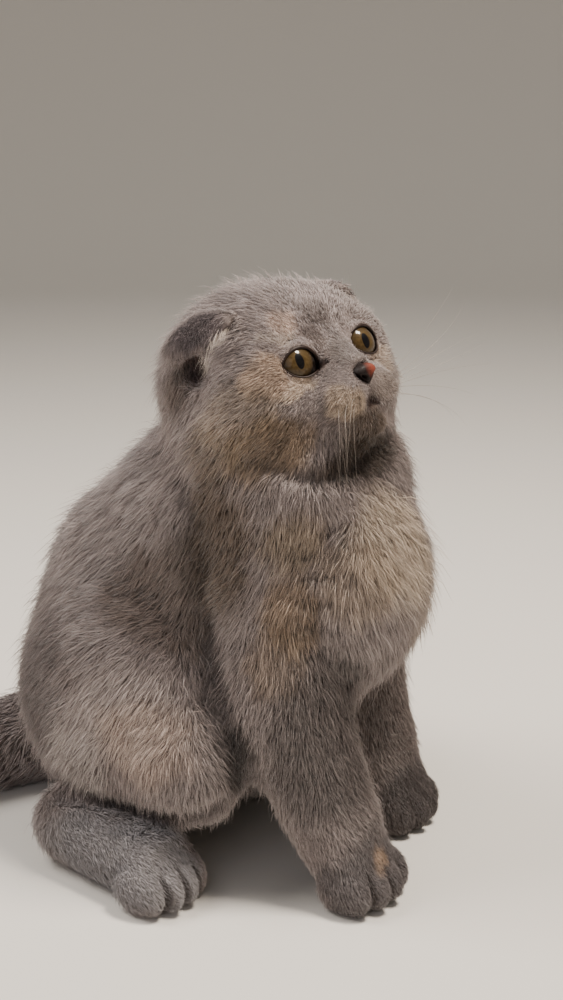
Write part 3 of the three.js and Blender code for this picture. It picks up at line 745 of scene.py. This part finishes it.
# Painted shade in the grooves between the toes, and in the short furrows in which the breast's
# coat parts
for place in TOE_GAPS:
    BODY_PATCHES.append((place, (0.7, 8, 7), "3f3837", 0.7))
FURROWS = [
    ((-21, -45, 118), 3.5), ((-25, -46, 111), 4.5), ((-27, -46, 104.5), 5),
    ((-27.5, -45, 97), 3.5), ((-30, -44, 90), 4.5), ((-30, -43, 81), 3),
]
for place, wide in FURROWS:
    BODY_PATCHES.append((place, (wide, 9, 0.9), "5a4a3d", 0.15))
# Rows of dark spots where the whiskers root
for side in (-1, 1):
    for row in range(4):
        for n in range(4 if row < 3 else 3):
            spot = (side * (6.2 + 2.2 * n + 0.5 * row), -37 + 1.1 * n, -11 - 1.75 * row)
            HEAD_PATCHES.append((spot, (0.5, 4, 0.5), "4a3a30", 0.65))
# The edge of anything narrower is too fine to wander
FINE = 1.4


def markings_and_painted_light(points):
    """The coat's colour at each place, its painted light and shade included, in linear light."""
    drift = wander(points, 7)
    shade = wander(points, 26)[:, :1] * 0.1 + drift[:, :1] * 0.05
    tint = np.tile(colour(GREY), (len(points), 1)) * (1 + shade)
    bent = points + (drift * 2.2 + wander(points + 0.5, 2.6) * 1.1) * MM
    for patches, measured in ((HEAD_PATCHES, head_mm), (BODY_PATCHES, body_mm)):
        ragged, plain = measured(bent), measured(points)
        for place, reach, code, strength in patches:
            here = plain if min(reach) < FINE else ragged
            away = np.linalg.norm((here - place) / reach, axis=1)
            share = np.clip((1.25 - away) / 0.55, 0, 1)
            share = (share * share * (3 - 2 * share) * strength)[:, None]
            tint = tint * (1 - share) + np.array(colour(code)) * share
    # Darker streaks over the crown, and painted shade in the folds
    head = head_mm(bent)
    streak = wander(head * (3.2, 0.8, 1.2) * MM, 6)[:, :1] * 0.3
    tint = tint * (1 + streak * np.clip((head[:, 2:] + 36) / 12, 0, 1))
    for reach, _, dark, line in FOLDS:
        near = np.clip(1.1 - from_line(bent, line) / reach, 0, 1)
        tint = tint * (1 - dark * near * near * (3 - 2 * near))
    return tint


def add_colour(mesh, name, values):
    """Gives each vertex a colour that materials read by name."""
    layer = mesh.color_attributes.new(name, "FLOAT_COLOR", "POINT")
    full = np.ones((len(values), 4), np.float32)
    full[:, :3] = values
    layer.data.foreach_set("color", full.ravel())


skin_points = read(skin.data.vertices, "co", 3)
add_colour(skin.data, "marking_with_painted_light", markings_and_painted_light(skin_points))


def feed(tree, node, inputs):
    """Gives inputs of a node their values, or the outputs that they take them from."""
    for name, value in inputs.items():
        if isinstance(value, bpy.types.NodeSocket):
            tree.links.new(value, node.inputs[name])
        else:
            node.inputs[name].default_value = value


def add_node(tree, kind, inputs, **settings):
    """A new node with these inputs and settings. It gives back the node's outputs."""
    node = tree.nodes.new("ShaderNode" + kind)
    for setting, value in settings.items():
        setattr(node, setting, value)
    feed(tree, node, inputs)
    return node.outputs


# The colour of a marking, darker at the roots of its hair and paler at the tips
hair_tone = bpy.data.node_groups.new("hair_tone", "ShaderNodeTree")
for name, kind in (("Colour", "Color"), ("Along", "Float"), ("Root", "Color"), ("Tip", "Color")):
    hair_tone.interface.new_socket(name, in_out="INPUT", socket_type="NodeSocket" + kind)
hair_tone.interface.new_socket("Colour", in_out="OUTPUT", socket_type="NodeSocketColor")
taken = hair_tone.nodes.new("NodeGroupInput").outputs
fade = add_node(
    hair_tone,
    "MixRGB",
    {"Fac": taken["Along"], "Color1": taken["Root"], "Color2": taken["Tip"]},
)
tinted = add_node(
    hair_tone,
    "MixRGB",
    {"Fac": 1, "Color1": taken["Colour"], "Color2": fade["Color"]},
    blend_type="MULTIPLY",
)
feed(hair_tone, hair_tone.nodes.new("NodeGroupOutput"), {"Colour": tinted["Color"]})

# The hide takes the coat's colours darkened to between 0.42 and 0.8 of them by fine noise: painted
# shade under the hair
hide, tree, shader = new_material("downy_hide")
mark_and_painted_light = add_node(tree, "Attribute", {}, attribute_name="marking_with_painted_light")["Color"]
place = add_node(tree, "TexCoord", {})["Object"]
down = add_node(tree, "TexNoise", {"Vector": place, "Scale": 1400, "Detail": 3})["Fac"]
tone = add_node(
    tree,
    "Group",
    {"Colour": mark_and_painted_light, "Along": down, "Root": (0.42, 0.39, 0.37, 1), "Tip": (0.8, 0.77, 0.75, 1)},
    node_tree=hair_tone,
)["Colour"]
relief = add_node(tree, "Bump", {"Height": down, "Strength": 0.7, "Distance": 0.0006})["Normal"]
feed(tree, shader, {"Base Color": tone, "Normal": relief})
feed(tree, shader, {"Roughness": 0.85, "Specular IOR Level": 0.2})
skin.data.materials.clear()
skin.data.materials.append(hide)
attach(skin, "root")
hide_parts(*FLESH)

# Eyes
# Glass-bright balls with a bulging cornea. The iris is olive to amber with fine
# spokes, the pupil a tall dark oval.


def add_ramp(tree, along, *stops):
    """Colours that change along a value: each stop is a position and its colour."""
    ramp = tree.nodes.new("ShaderNodeValToRGB")
    elements = ramp.color_ramp.elements
    first, *between, last = stops
    for element, (at, tint) in zip(elements, (first, last)):
        element.position = at
        element.color = (*tint, 1)
    for at, tint in between:
        elements.new(at).color = (*tint, 1)
    feed(tree, ramp, {"Fac": along})
    return ramp.outputs["Color"]


eye_glass, tree, shader = new_material("eye")
flat = add_node(tree, "UVMap", {}, uv_map="iris")["UV"]
centred = add_node(tree, "VectorMath", {0: flat, 1: (0.5, 0.5, 0)}, operation="SUBTRACT")[0]
reach = add_node(tree, "VectorMath", {0: centred}, operation="LENGTH")["Value"]
squeezed = add_node(tree, "VectorMath", {0: centred, 1: (1.9, 1, 0)}, operation="MULTIPLY")[0]
slit = add_node(tree, "VectorMath", {0: squeezed}, operation="LENGTH")["Value"]
rings = add_ramp(
    tree, reach, (0, colour("43361f")), (0.2, colour("57462a")), (0.36, colour("4a3b22")),
    (0.45, colour("302412")), (0.5, colour("0d0906")), (0.62, colour("0b0806")),
)
spokes = add_node(tree, "TexNoise", {"Vector": flat, "Scale": 13, "Detail": 4})["Fac"]
streaks = add_ramp(tree, spokes, (0.3, (0.6, 0.56, 0.5)), (0.7, (1, 1, 1)))
fibres = add_node(
    tree, "MixRGB", {"Fac": 1, "Color1": rings, "Color2": streaks}, blend_type="MULTIPLY"
)["Color"]
edge = add_node(tree, "MapRange", {"Value": slit, "From Min": 0.2, "From Max": 0.225})["Result"]
iris = add_node(
    tree, "MixRGB", {"Fac": edge, "Color1": (0.003, 0.003, 0.004, 1), "Color2": fibres}
)["Color"]
feed(tree, shader, {"Base Color": iris, "Roughness": 0.32, "Specular IOR Level": 0.05})
feed(tree, shader, {"Coat Weight": 1.0, "Coat Roughness": 0.02, "Coat IOR": 1.34})

# How far the iris and the cornea spread from the gaze, in radians
IRIS_SPREAD, CORNEA_SPREAD = 0.68, 0.72
CORNEA_RISE = 0.5
for name, eye in EYES.items():
    bpy.ops.mesh.primitive_uv_sphere_add(segments=72, ring_count=48, radius=1)
    ball = bpy.context.active_object
    ball.name = "eyeball_" + name
    bpy.ops.object.shade_smooth()
    local = read(ball.data.vertices, "co", 3)
    # The pole faces the gaze, and the cornea stands out round it
    lean = np.arccos(np.clip(local[:, 2], -1, 1))
    bulge = CORNEA_RISE * np.clip(1 - (lean / CORNEA_SPREAD) ** 2, 0, 1) ** 1.5
    gaze = np.array(eye["gaze"]) / np.linalg.norm(eye["gaze"])
    across = np.cross((0, 0, 1.0), gaze)
    across /= np.linalg.norm(across)
    up = np.cross(gaze, across)
    shaped = local * (EYE_RADIUS + bulge)[:, None]
    turned = shaped @ np.stack([across, up, gaze]) + eye["place"]
    ball.data.vertices.foreach_set("co", on_head(turned).ravel())
    uv = ball.data.uv_layers.active
    uv.name = "iris"
    loops = np.empty(len(ball.data.loops), np.int32)
    ball.data.loops.foreach_get("vertex_index", loops)
    flat = local[:, :2] / np.maximum(np.linalg.norm(local[:, :2], axis=1), 1e-6)[:, None]
    flat = flat * (lean / IRIS_SPREAD * 0.5)[:, None] + 0.5
    uv.data.foreach_set("uv", flat[loops].ravel())
    ball.data.update()
    ball.data.materials.append(eye_glass)
    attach(ball, "root")
    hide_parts("eye_" + name)

# Eyelids
# Bare dark rims along the edges of the lids, which narrow to the tear corner beside
# the nose.
bare_skin, tree, shader = new_material("bare_dark_skin")
place = add_node(tree, "TexCoord", {})["Object"]
mottle = add_node(tree, "TexNoise", {"Vector": place, "Scale": 900})["Fac"]
tone = add_ramp(tree, mottle, (0, colour("150d0a")), (1, colour("2e1c16")))
feed(tree, shader, {"Base Color": tone, "Roughness": 0.5, "Specular IOR Level": 0.3})


def tube(name, lines, sides=8):
    """Round strips along paths, each radius given point by point, as one piece."""
    data = bpy.data.curves.new(name, "CURVE")
    data.dimensions = "3D"
    data.bevel_depth = 1
    data.bevel_resolution = (sides - 4) // 2
    data.use_fill_caps = True
    for path, radii in lines:
        line = data.splines.new("POLY")
        line.points.add(len(path) - 1)
        for point, place, radius in zip(line.points, path, radii):
            point.co = (*place, 1)
            point.radius = radius
    pick(placed(name, data))
    bpy.ops.object.convert(target="MESH")
    bpy.ops.object.shade_smooth()
    return bpy.context.active_object


for name, eye in EYES.items():
    side, wide = eye["side"], lid_line(eye["side"])[1]
    steps = [(-0.2, 8.35), (-0.15, 8.75), (wide * 0.3, 8.98), (wide * 0.8, 9.1),
             (wide + 0.15, 9.05), (wide + 0.15, 8.4)]
    rings = [lid_edge(side, *step) + eye["place"] for step in steps]
    rim = woven("eyelid_rim_" + name, rings, closed=True)
    turn_outward(rim)
    bpy.ops.object.shade_smooth()
    rim.data.materials.append(bare_skin)
    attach(rim, "root")

# Nose
# The bare leather between the pads: a soft wedge with a groove down its middle and
# a comma-shaped nostril on each side, finely pebbled and a little moist.
leather, tree, shader = new_material("nose_leather")
place = add_node(tree, "TexCoord", {})["Object"]
# A blush of red flesh just left of its middle, which fades to black leather
blush_place = on_head([(1.9, -39, -7.4)])[0]
off = add_node(tree, "Mapping", {"Vector": place, "Location": tuple(-blush_place)})["Vector"]
away = add_node(tree, "VectorMath", {0: off}, operation="LENGTH")["Value"]
fade = add_node(tree, "MapRange", {"Value": away, "From Min": 0.001, "From Max": 0.0038})["Result"]
tone = add_ramp(tree, fade, (0, colour("7c3a2b")), (1, colour("110504")))
pebble = add_node(tree, "TexVoronoi", {"Vector": place, "Scale": 2600})["Distance"]
relief = add_node(tree, "Bump", {"Height": pebble, "Strength": 0.35, "Distance": 0.0003})["Normal"]
feed(tree, shader, {"Base Color": tone, "Normal": relief, "Roughness": 0.6})
feed(tree, shader, {"Specular IOR Level": 0.25, "Coat Weight": 0.04, "Coat Roughness": 0.25})

bpy.ops.mesh.primitive_uv_sphere_add(segments=96, ring_count=64, radius=1)
nose = bpy.context.active_object
nose.name = "nose_leather"
bpy.ops.object.shade_smooth()
ball = read(nose.data.vertices, "co", 3)
# Squared off in front, broad along the top and drawn to a point below
x, y, z = np.sign(ball.T) * np.abs(ball.T) ** np.array([[0.8], [0.7], [0.8]])
wide = 4.3 * np.interp(z, [-1, -0.6, 0.3, 1], [0.2, 0.45, 1.0, 0.95])
deep = np.full(len(x), 2.5)
for side in (-1, 1):
    pit = ((x - side * 0.6) / 0.24) ** 2 + ((z + 0.22 - 0.4 * (side * x - 0.6)) / 0.22) ** 2
    deep -= np.where(y < 0, 2.2 * np.exp(-(pit**1.5)), 0)
deep -= np.where((y < 0) & (z < 0.35), 0.35 * np.exp(-((x / 0.09) ** 2)), 0)
shaped = np.stack([x * wide, y * deep, z * 3.0], axis=1)
lean = np.array(Matrix.Rotation(0.3, 3, "X"))
nose.data.vertices.foreach_set(
    "co", on_head(shaped @ lean.T + (0, -35.9, -8.5)).ravel()
)
nose.data.update()
nose.data.materials.append(leather)
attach(nose, "root")
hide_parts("nose")

# Mouth
# Dark bare lips that meet under the nose and run back below each whisker pad, as thin
# strips set into the hide.
skin_tree = BVHTree.FromPolygons(
    [tuple(p) for p in skin_points],
    [tuple(p.vertices) for p in skin.data.polygons],
)


def draped(places, lift):
    """Head places dropped onto the skin from the front, lifted a little off it."""
    back = Vector(HEAD_TURN @ np.array([0, 1, 0.0]))
    path = []
    for x, z in places:
        start = Vector(on_head([(x, -60, z)])[0])
        hit, normal, *_ = skin_tree.ray_cast(start, back)
        if hit is not None:
            path.append(np.array(hit + normal * lift * MM))
    return np.array(path)


LIP_LINE = [(0, -11.5), (0, -13), (0.1, -15.2), (0.8, -16.8), (1.9, -17.8), (3.2, -18.6),
            (4.6, -19.2), (6, -19.6)]
for name, side in (("right", -1), ("left", 1)):
    path = draped([(side * x, z) for x, z in LIP_LINE], -0.1)
    radii = np.interp(np.arange(len(path)), [0, 2, 4, 7], [0.15, 0.4, 0.5, 0.1]) * MM
    lip = tube("lip_" + name, [(path, radii)])
    lip.data.materials.append(bare_skin)
    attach(lip, "root")

# Coat
# Soft short double coat, in thin tufts that lie back along the body and draw
# together into small locks. It is shortest on the face, ears and feet.
chance = np.random.default_rng(11)

plush, tree, shader = new_material("plush_hair")
mark_and_painted_light = add_node(tree, "Attribute", {}, attribute_name="marking_with_painted_light")["Color"]
along = add_node(tree, "Attribute", {}, attribute_name="along")["Fac"]
tone = add_node(
    tree,
    "Group",
    {"Colour": mark_and_painted_light, "Along": along, "Root": (0.6, 0.54, 0.48, 1), "Tip": (1.24, 1.24, 1.27, 1)},
    node_tree=hair_tone,
)["Colour"]
feed(tree, shader, {"Base Color": tone, "Roughness": 0.55, "Specular IOR Level": 0.35})
feed(tree, shader, {"Sheen Weight": 0.25, "Sheen Roughness": 0.4})

# A hair is a spindle: its root, three points round its thickest part, and its tip
HAIR_FACES = [(1, 2, 4), (2, 3, 4), (3, 1, 4), (0, 2, 1), (0, 3, 2), (0, 1, 3)]
# Where the thickest part lies from root to tip, and the size of its patch on the map
THICKEST = 0.45
PATCH = 0.0014


def hair_mesh(name, roots, rings, tips, tints, places):
    """Joins closed spindles into one piece, with its colours and its map."""
    count = len(tips)
    points = np.concatenate([roots[:, None], rings, tips[:, None]], axis=1)
    points[..., 2] = np.maximum(points[..., 2], 0.0002)
    mesh = bpy.data.meshes.new(name)
    mesh.vertices.add(count * 5)
    mesh.vertices.foreach_set("co", points.astype(np.float32).ravel())
    pattern = np.array(HAIR_FACES).ravel()
    corners = (np.arange(count)[:, None] * 5 + pattern).ravel()
    mesh.loops.add(len(corners))
    mesh.loops.foreach_set("vertex_index", corners.astype(np.int32))
    mesh.polygons.add(count * 6)
    mesh.polygons.foreach_set("loop_start", np.arange(0, len(corners), 3, dtype=np.int32))
    mesh.polygons.foreach_set("use_smooth", np.ones(count * 6, bool))
    mesh.update(calc_edges=True)
    add_colour(mesh, "marking_with_painted_light", np.repeat(tints, 5, axis=0))
    layer = mesh.attributes.new("along", "FLOAT", "POINT")
    steps = np.tile([0, THICKEST, THICKEST, THICKEST, 1], count).astype(np.float32)
    layer.data.foreach_set("value", steps)
    turns = np.radians([90, 210, 330])
    ring = np.stack([np.cos(turns), np.sin(turns)], axis=1) * 0.5
    upper = np.vstack([[(0, 0)], ring, [(0, 0)]])
    patch = np.vstack([upper[pattern[:9]] - (0.5, 0), upper[pattern[9:]] + (0.5, 0)]) * PATCH
    spots = np.clip(places, PATCH, 1 - PATCH)[:, None] + patch[None]
    uv = mesh.uv_layers.new(name="OFBake")
    uv.data.foreach_set("uv", spots.astype(np.float32).ravel())
    return placed(name, mesh)


def unwrapped(points, faces):
    """An unwrap of this part of the skin by itself: two numbers for each corner."""
    mesh = bpy.data.meshes.new("spread")
    used, small = np.unique(faces, return_inverse=True)
    mesh.from_pydata(points[used].tolist(), [], small.reshape(-1, 3).tolist())
    spread = placed("spread", mesh)
    pick(spread)
    mesh.uv_layers.new(name="flat")
    bpy.ops.object.mode_set(mode="EDIT")
    bpy.ops.mesh.select_all(action="SELECT")
    bpy.ops.uv.smart_project(angle_limit=1.15, island_margin=0.004, scale_to_bounds=True)
    bpy.ops.object.mode_set(mode="OBJECT")
    flat = read(spread.data.uv_layers["flat"].data, "uv", 2).reshape(-1, 3, 2)
    bpy.data.objects.remove(spread)
    return flat


skin_normals = read(skin.data.vertices, "normal", 3)
faces = np.empty(len(skin.data.polygons) * 3, np.int32)
skin.data.polygons.foreach_get("vertices", faces)
faces = faces.reshape(-1, 3)
corners = skin_points[faces]
centres = corners.mean(axis=1)
areas = np.linalg.norm(
    np.cross(corners[:, 1] - corners[:, 0], corners[:, 2] - corners[:, 0]), axis=1
) / 2 / MM**2

# Tufts per square millimetre: none in the eyes' openings or on the nose and lips, and
# few between the toes and where the body rests on the floor
density = coat_at(centres)[1][:, 3]
local = head_mm(centres)
in_eye = np.zeros(len(centres), bool)
for eye in EYES.values():
    off = local - eye["place"]
    gap = np.linalg.norm(off, axis=1)
    in_eye |= gap < EYE_RADIUS + 0.6
    in_eye |= (beyond_lid(eye["side"], off) < 0.4) & (gap < LID_REACH)
at_nose = ((local - (0, -37.5, -8.6)) / (3.8, 4, 3)) ** 2
at_mouth = ((local - (0, -36, -17.6)) / (2.6, 4, 1.3)) ** 2
for place in TOE_GAPS:
    away = ((body_mm(centres) - place) / (0.8, 8, 7)) ** 2
    density[away.sum(axis=1) < 1] *= 0.5
density[in_eye | (at_nose.sum(axis=1) < 1) | (at_mouth.sum(axis=1) < 1)] = 0
density[centres[:, 2] < 0.0012] *= 0.15
# Nor does any grow deep inside the head, where the walls of the sockets are
inside = (np.abs(local) < 12).all(axis=1)
density[inside & (centres[:, 2] > 0.14)] = 0

head_part = (local[:, 2] > -33 + 0.3 * (local[:, 1] + 12)) & (centres[:, 2] > 0.13)
right = local[:, 0] < 0
face_part = local[:, 1] < -17
x, y, z = body_mm(centres).T
right_body = centres[:, 0] < BODY_PLACE[0] * MM
fore = (z < 74) & (y < -8) & (np.abs(x) < 46) & (y < 6 - z * 0.2)
hind = (z < 92) & (np.abs(x) > 26) & (y < 72) & ~fore
neck, body = ~head_part & (z > 112), ~head_part & (z <= 112)
trunk = body & ~fore & ~hind & (y < 50)
rear = body & ~fore & ~hind & (y >= 50)
DISTRICTS = {
    # name: the part of the skin, and how thickly it is covered
    "coat_face_right": (head_part & right & face_part, 1.05),
    "coat_face_left": (head_part & ~right & face_part, 0.95),
    "coat_crown_right": (head_part & right & ~face_part, 1.05),
    "coat_crown_left": (head_part & ~right & ~face_part, 0.6),
    "coat_neck": (neck, 0.92),
    "coat_foreleg_right": (body & fore & right_body, 0.95),
    "coat_foreleg_left": (body & fore & ~right_body, 0.65),
    "coat_thigh_right": (body & hind & right_body & (z > 27), 1.3),
    "coat_hindfoot_right": (body & hind & right_body & (z <= 27), 0.7),
    "coat_hindleg_left": (body & hind & ~right_body, 0.5),
    "coat_trunk_right": (trunk & right_body, 1.3),
    "coat_trunk_left": (trunk & ~right_body, 0.65),
    "coat_rump": (rear & (z > 34), 0.7),
    "coat_tail": (rear & (z <= 34), 0.4),
}
# A piece holds at most so many tufts, and a lock gathers so many
GROWTH = 1.0
MOST_TUFTS = 33000
LOCK = 14
for name, (here, cover) in DISTRICTS.items():
    here = np.nonzero(here & (density > 0))[0]
    flat = unwrapped(skin_points, faces[here])
    share = areas[here] * density[here] * GROWTH * cover
    total = min(int(share.sum()), MOST_TUFTS)
    place = (np.arange(total) + chance.random(total)) / total * share.sum()
    drawn = np.searchsorted(np.cumsum(share), place).clip(0, len(here) - 1)
    weights = chance.dirichlet((1, 1, 1), total)[:, :, None]
    roots = (skin_points[faces[here[drawn]]] * weights).sum(axis=1)
    up = unit((skin_normals[faces[here[drawn]]] * weights).sum(axis=1))
    spots = (flat[drawn] * weights).sum(axis=1)
    ways, sizes = coat_at(roots)
    length, width, lift, _ = sizes.T[:, :, None]
    swirl = wander(roots, 5) * 0.3 + wander(roots, 14) * 0.25
    ways = ways + swirl + chance.normal(0, 0.2, (total, 3))
    ways = unit(ways - up * (ways * up).sum(axis=1, keepdims=True))
    length = length * (1 + chance.uniform(-0.4, 0.3, (total, 1))) * MM
    width = width * (1 + chance.uniform(-0.3, 0.3, (total, 1))) * cover**-0.4 * MM
    lift = lift * (1 + chance.uniform(-0.4, 0.5, (total, 1)))
    # One in ten is a guard hair, which stands out further
    guard = chance.random((total, 1)) < 0.1
    length = length * np.where(guard, 1.35, 1)
    lift = lift * np.where(guard, 1.5, 1)
    width = width * np.where(guard, 0.75, 1)
    middle = (ways * 0.4 + up * lift * 0.58) * length
    reach = (ways * 0.98 + up * lift * 0.95) * length
    reach[:, 2] -= 0.06 * length[:, 0]
    # Neighbours draw together into a lock
    leaders = np.arange(0, total, LOCK)
    finder = KDTree(len(leaders))
    for n, leader in enumerate(leaders):
        finder.insert(roots[leader], n)
    finder.balance()
    nearest = leaders[[finder.find(root)[1] for root in roots]]
    pull = chance.uniform(0.05, 0.42, (total, 1)) * np.clip(length / MM / 5, 0.3, 1)
    meet = roots[nearest] + reach[nearest] - roots
    reach = reach * (1 - pull) + meet * pull
    middle = middle * (1 - pull * 0.3) + meet * 0.4 * pull * 0.3
    if "crown" in name:
        # Pale strands from the front of the ear hang over its opening
        side = -1 if "right" in name else 1
        tuft = np.linalg.norm(head_mm(roots) - (side * 28, -14.5, 17.5), axis=1) < 4.2
        tuft &= chance.random(total) < 0.75
        ends = (side * 33, -7, 6) + chance.normal(0, 1, (tuft.sum(), 3)) * (1, 2, 2)
        reach[tuft] = on_head(ends) - roots[tuft]
        sag = HEAD_TURN @ np.array((side * 1.6, -0.8, 0)) * MM
        middle[tuft] = reach[tuft] * 0.42 + sag
        guard[tuft] = True
    # Above a furrow the coat stops short at its edge, and just below it the tufts are darkened as
    # painted shade
    shade = np.ones((total, 1))
    for place, wide in FURROWS:
        aside = body_mm(roots) - place
        over = (np.abs(aside[:, 0]) < wide) & (np.abs(aside[:, 1]) < 9)
        drop = aside[:, 2] - 0.12 * aside[:, 0]
        above = over & (drop > 0) & (drop < 6)
        cut = np.clip(drop / 6, 0.65, 1)[:, None]
        reach = np.where(above[:, None], reach * cut, reach)
        middle = np.where(above[:, None], middle * cut + up * 0.3 * MM, middle)
        shade[over & (drop <= 0.3) & (drop > -2)] = 0.88
    beside = unit(np.cross(reach, up))
    outer = unit(np.cross(beside, reach))
    around = np.stack([beside * 0.5, -beside * 0.5, outer * 0.42], axis=1)
    rings = (roots + middle)[:, None] + around * width[:, None]
    tint = markings_and_painted_light(roots)
    single = chance.normal(0, 0.09, (total, 1)) + wander(roots, 2.5)[:, :1] * 0.12
    tint = tint * (1 + single) * np.where(guard, 1.35, 1) * shade
    if "crown" in name:
        tint[tuft] = np.array(colour("d6ccc4")) * (1 + single[tuft])
    tips = roots + reach
    # No tip may hang into an eye's opening
    clear = np.ones(total, bool)
    if "face" in name:
        for eye in EYES.values():
            off = head_mm(tips) - eye["place"]
            gap = np.linalg.norm(off, axis=1)
            clear &= (beyond_lid(eye["side"], off) > 0.1) | (gap > LID_REACH)
    coat = hair_mesh(
        name,
        (roots - up * 0.3 * MM)[clear],
        rings[clear],
        tips[clear],
        np.clip(tint, 0.01, 0.95)[clear],
        spots[clear],
    )
    coat.data.materials.append(plush)
    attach(coat, "root")

# Whiskers
# Long stiff hairs that taper to nothing: four rows on each whisker pad, and a few
# above each eye.
horn, tree, shader = new_material("whisker_horn")
place = add_node(tree, "TexCoord", {})["Object"]
bands = add_node(tree, "TexNoise", {"Vector": place, "Scale": 120})["Fac"]
tone = add_ramp(tree, bands, (0, colour("6f665f")), (1, colour("a89e95")))
feed(tree, shader, {"Base Color": tone, "Roughness": 0.35})

WHISKERS = [
    # root on the head, first direction, direction at the tip, length
    ((8.5, -12), (0.85, -0.45, 0.5), (0.85, -0.1, 0.6), 30),
    ((11, -12.5), (0.85, -0.4, 0.3), (0.9, 0, 0.3), 34),
    ((13.2, -13.5), (0.9, -0.35, 0.15), (0.95, 0, 0.1), 34),
    ((8.5, -14), (0.85, -0.45, 0.1), (0.9, -0.1, -0.05), 30),
    ((11.5, -15), (0.85, -0.4, 0), (0.9, 0, -0.2), 32),
    ((13.8, -15.8), (0.85, -0.35, -0.1), (0.85, 0.1, -0.4), 28),
    ((10, -17), (0.8, -0.4, -0.2), (0.75, 0.1, -0.6), 24),
    ((12.2, -18), (0.7, -0.35, -0.4), (0.6, 0.15, -0.8), 20),
    ((12, 11), (0.2, -0.6, 0.8), (0.4, 0.1, 0.9), 12),
    ((14.5, 11.5), (0.35, -0.5, 0.8), (0.6, 0.2, 0.8), 14),
    ((16.5, 11), (0.5, -0.4, 0.75), (0.7, 0.3, 0.7), 11),
]
lines = []
for side in (-1, 1):
    for (x, z), start, end, length in WHISKERS:
        lower = 3.5 if side < 0 and z < 0 else 0
        root = draped([(side * x, z - lower)], -0.8)[0]
        steps = np.linspace(0, 1, 12)[:, None]
        start, end = (
            (way + chance.normal(0, 0.09, 3)) * (side, 1, 1) for way in (start, end)
        )
        heading = start * (1 - steps) + end * steps
        if side < 0 and z < 0:
            # On the side that is seen they hang
            length *= chance.uniform(0.6, 0.95)
            heading = heading + np.array((0.5, 0.25, -1.5)) * steps**0.35
        elif z < 0:
            length *= 1.3
        heading = unit(heading) @ HEAD_TURN.T
        path = root + np.cumsum(heading * length / len(steps), axis=0) * MM
        path = np.vstack([root, path])
        radii = np.linspace(0.07, 0.012, len(path)) * MM
        lines.append((path, radii))
whiskers = tube("whiskers", lines, sides=6)
whiskers.data.materials.append(horn)
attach(whiskers, "root")
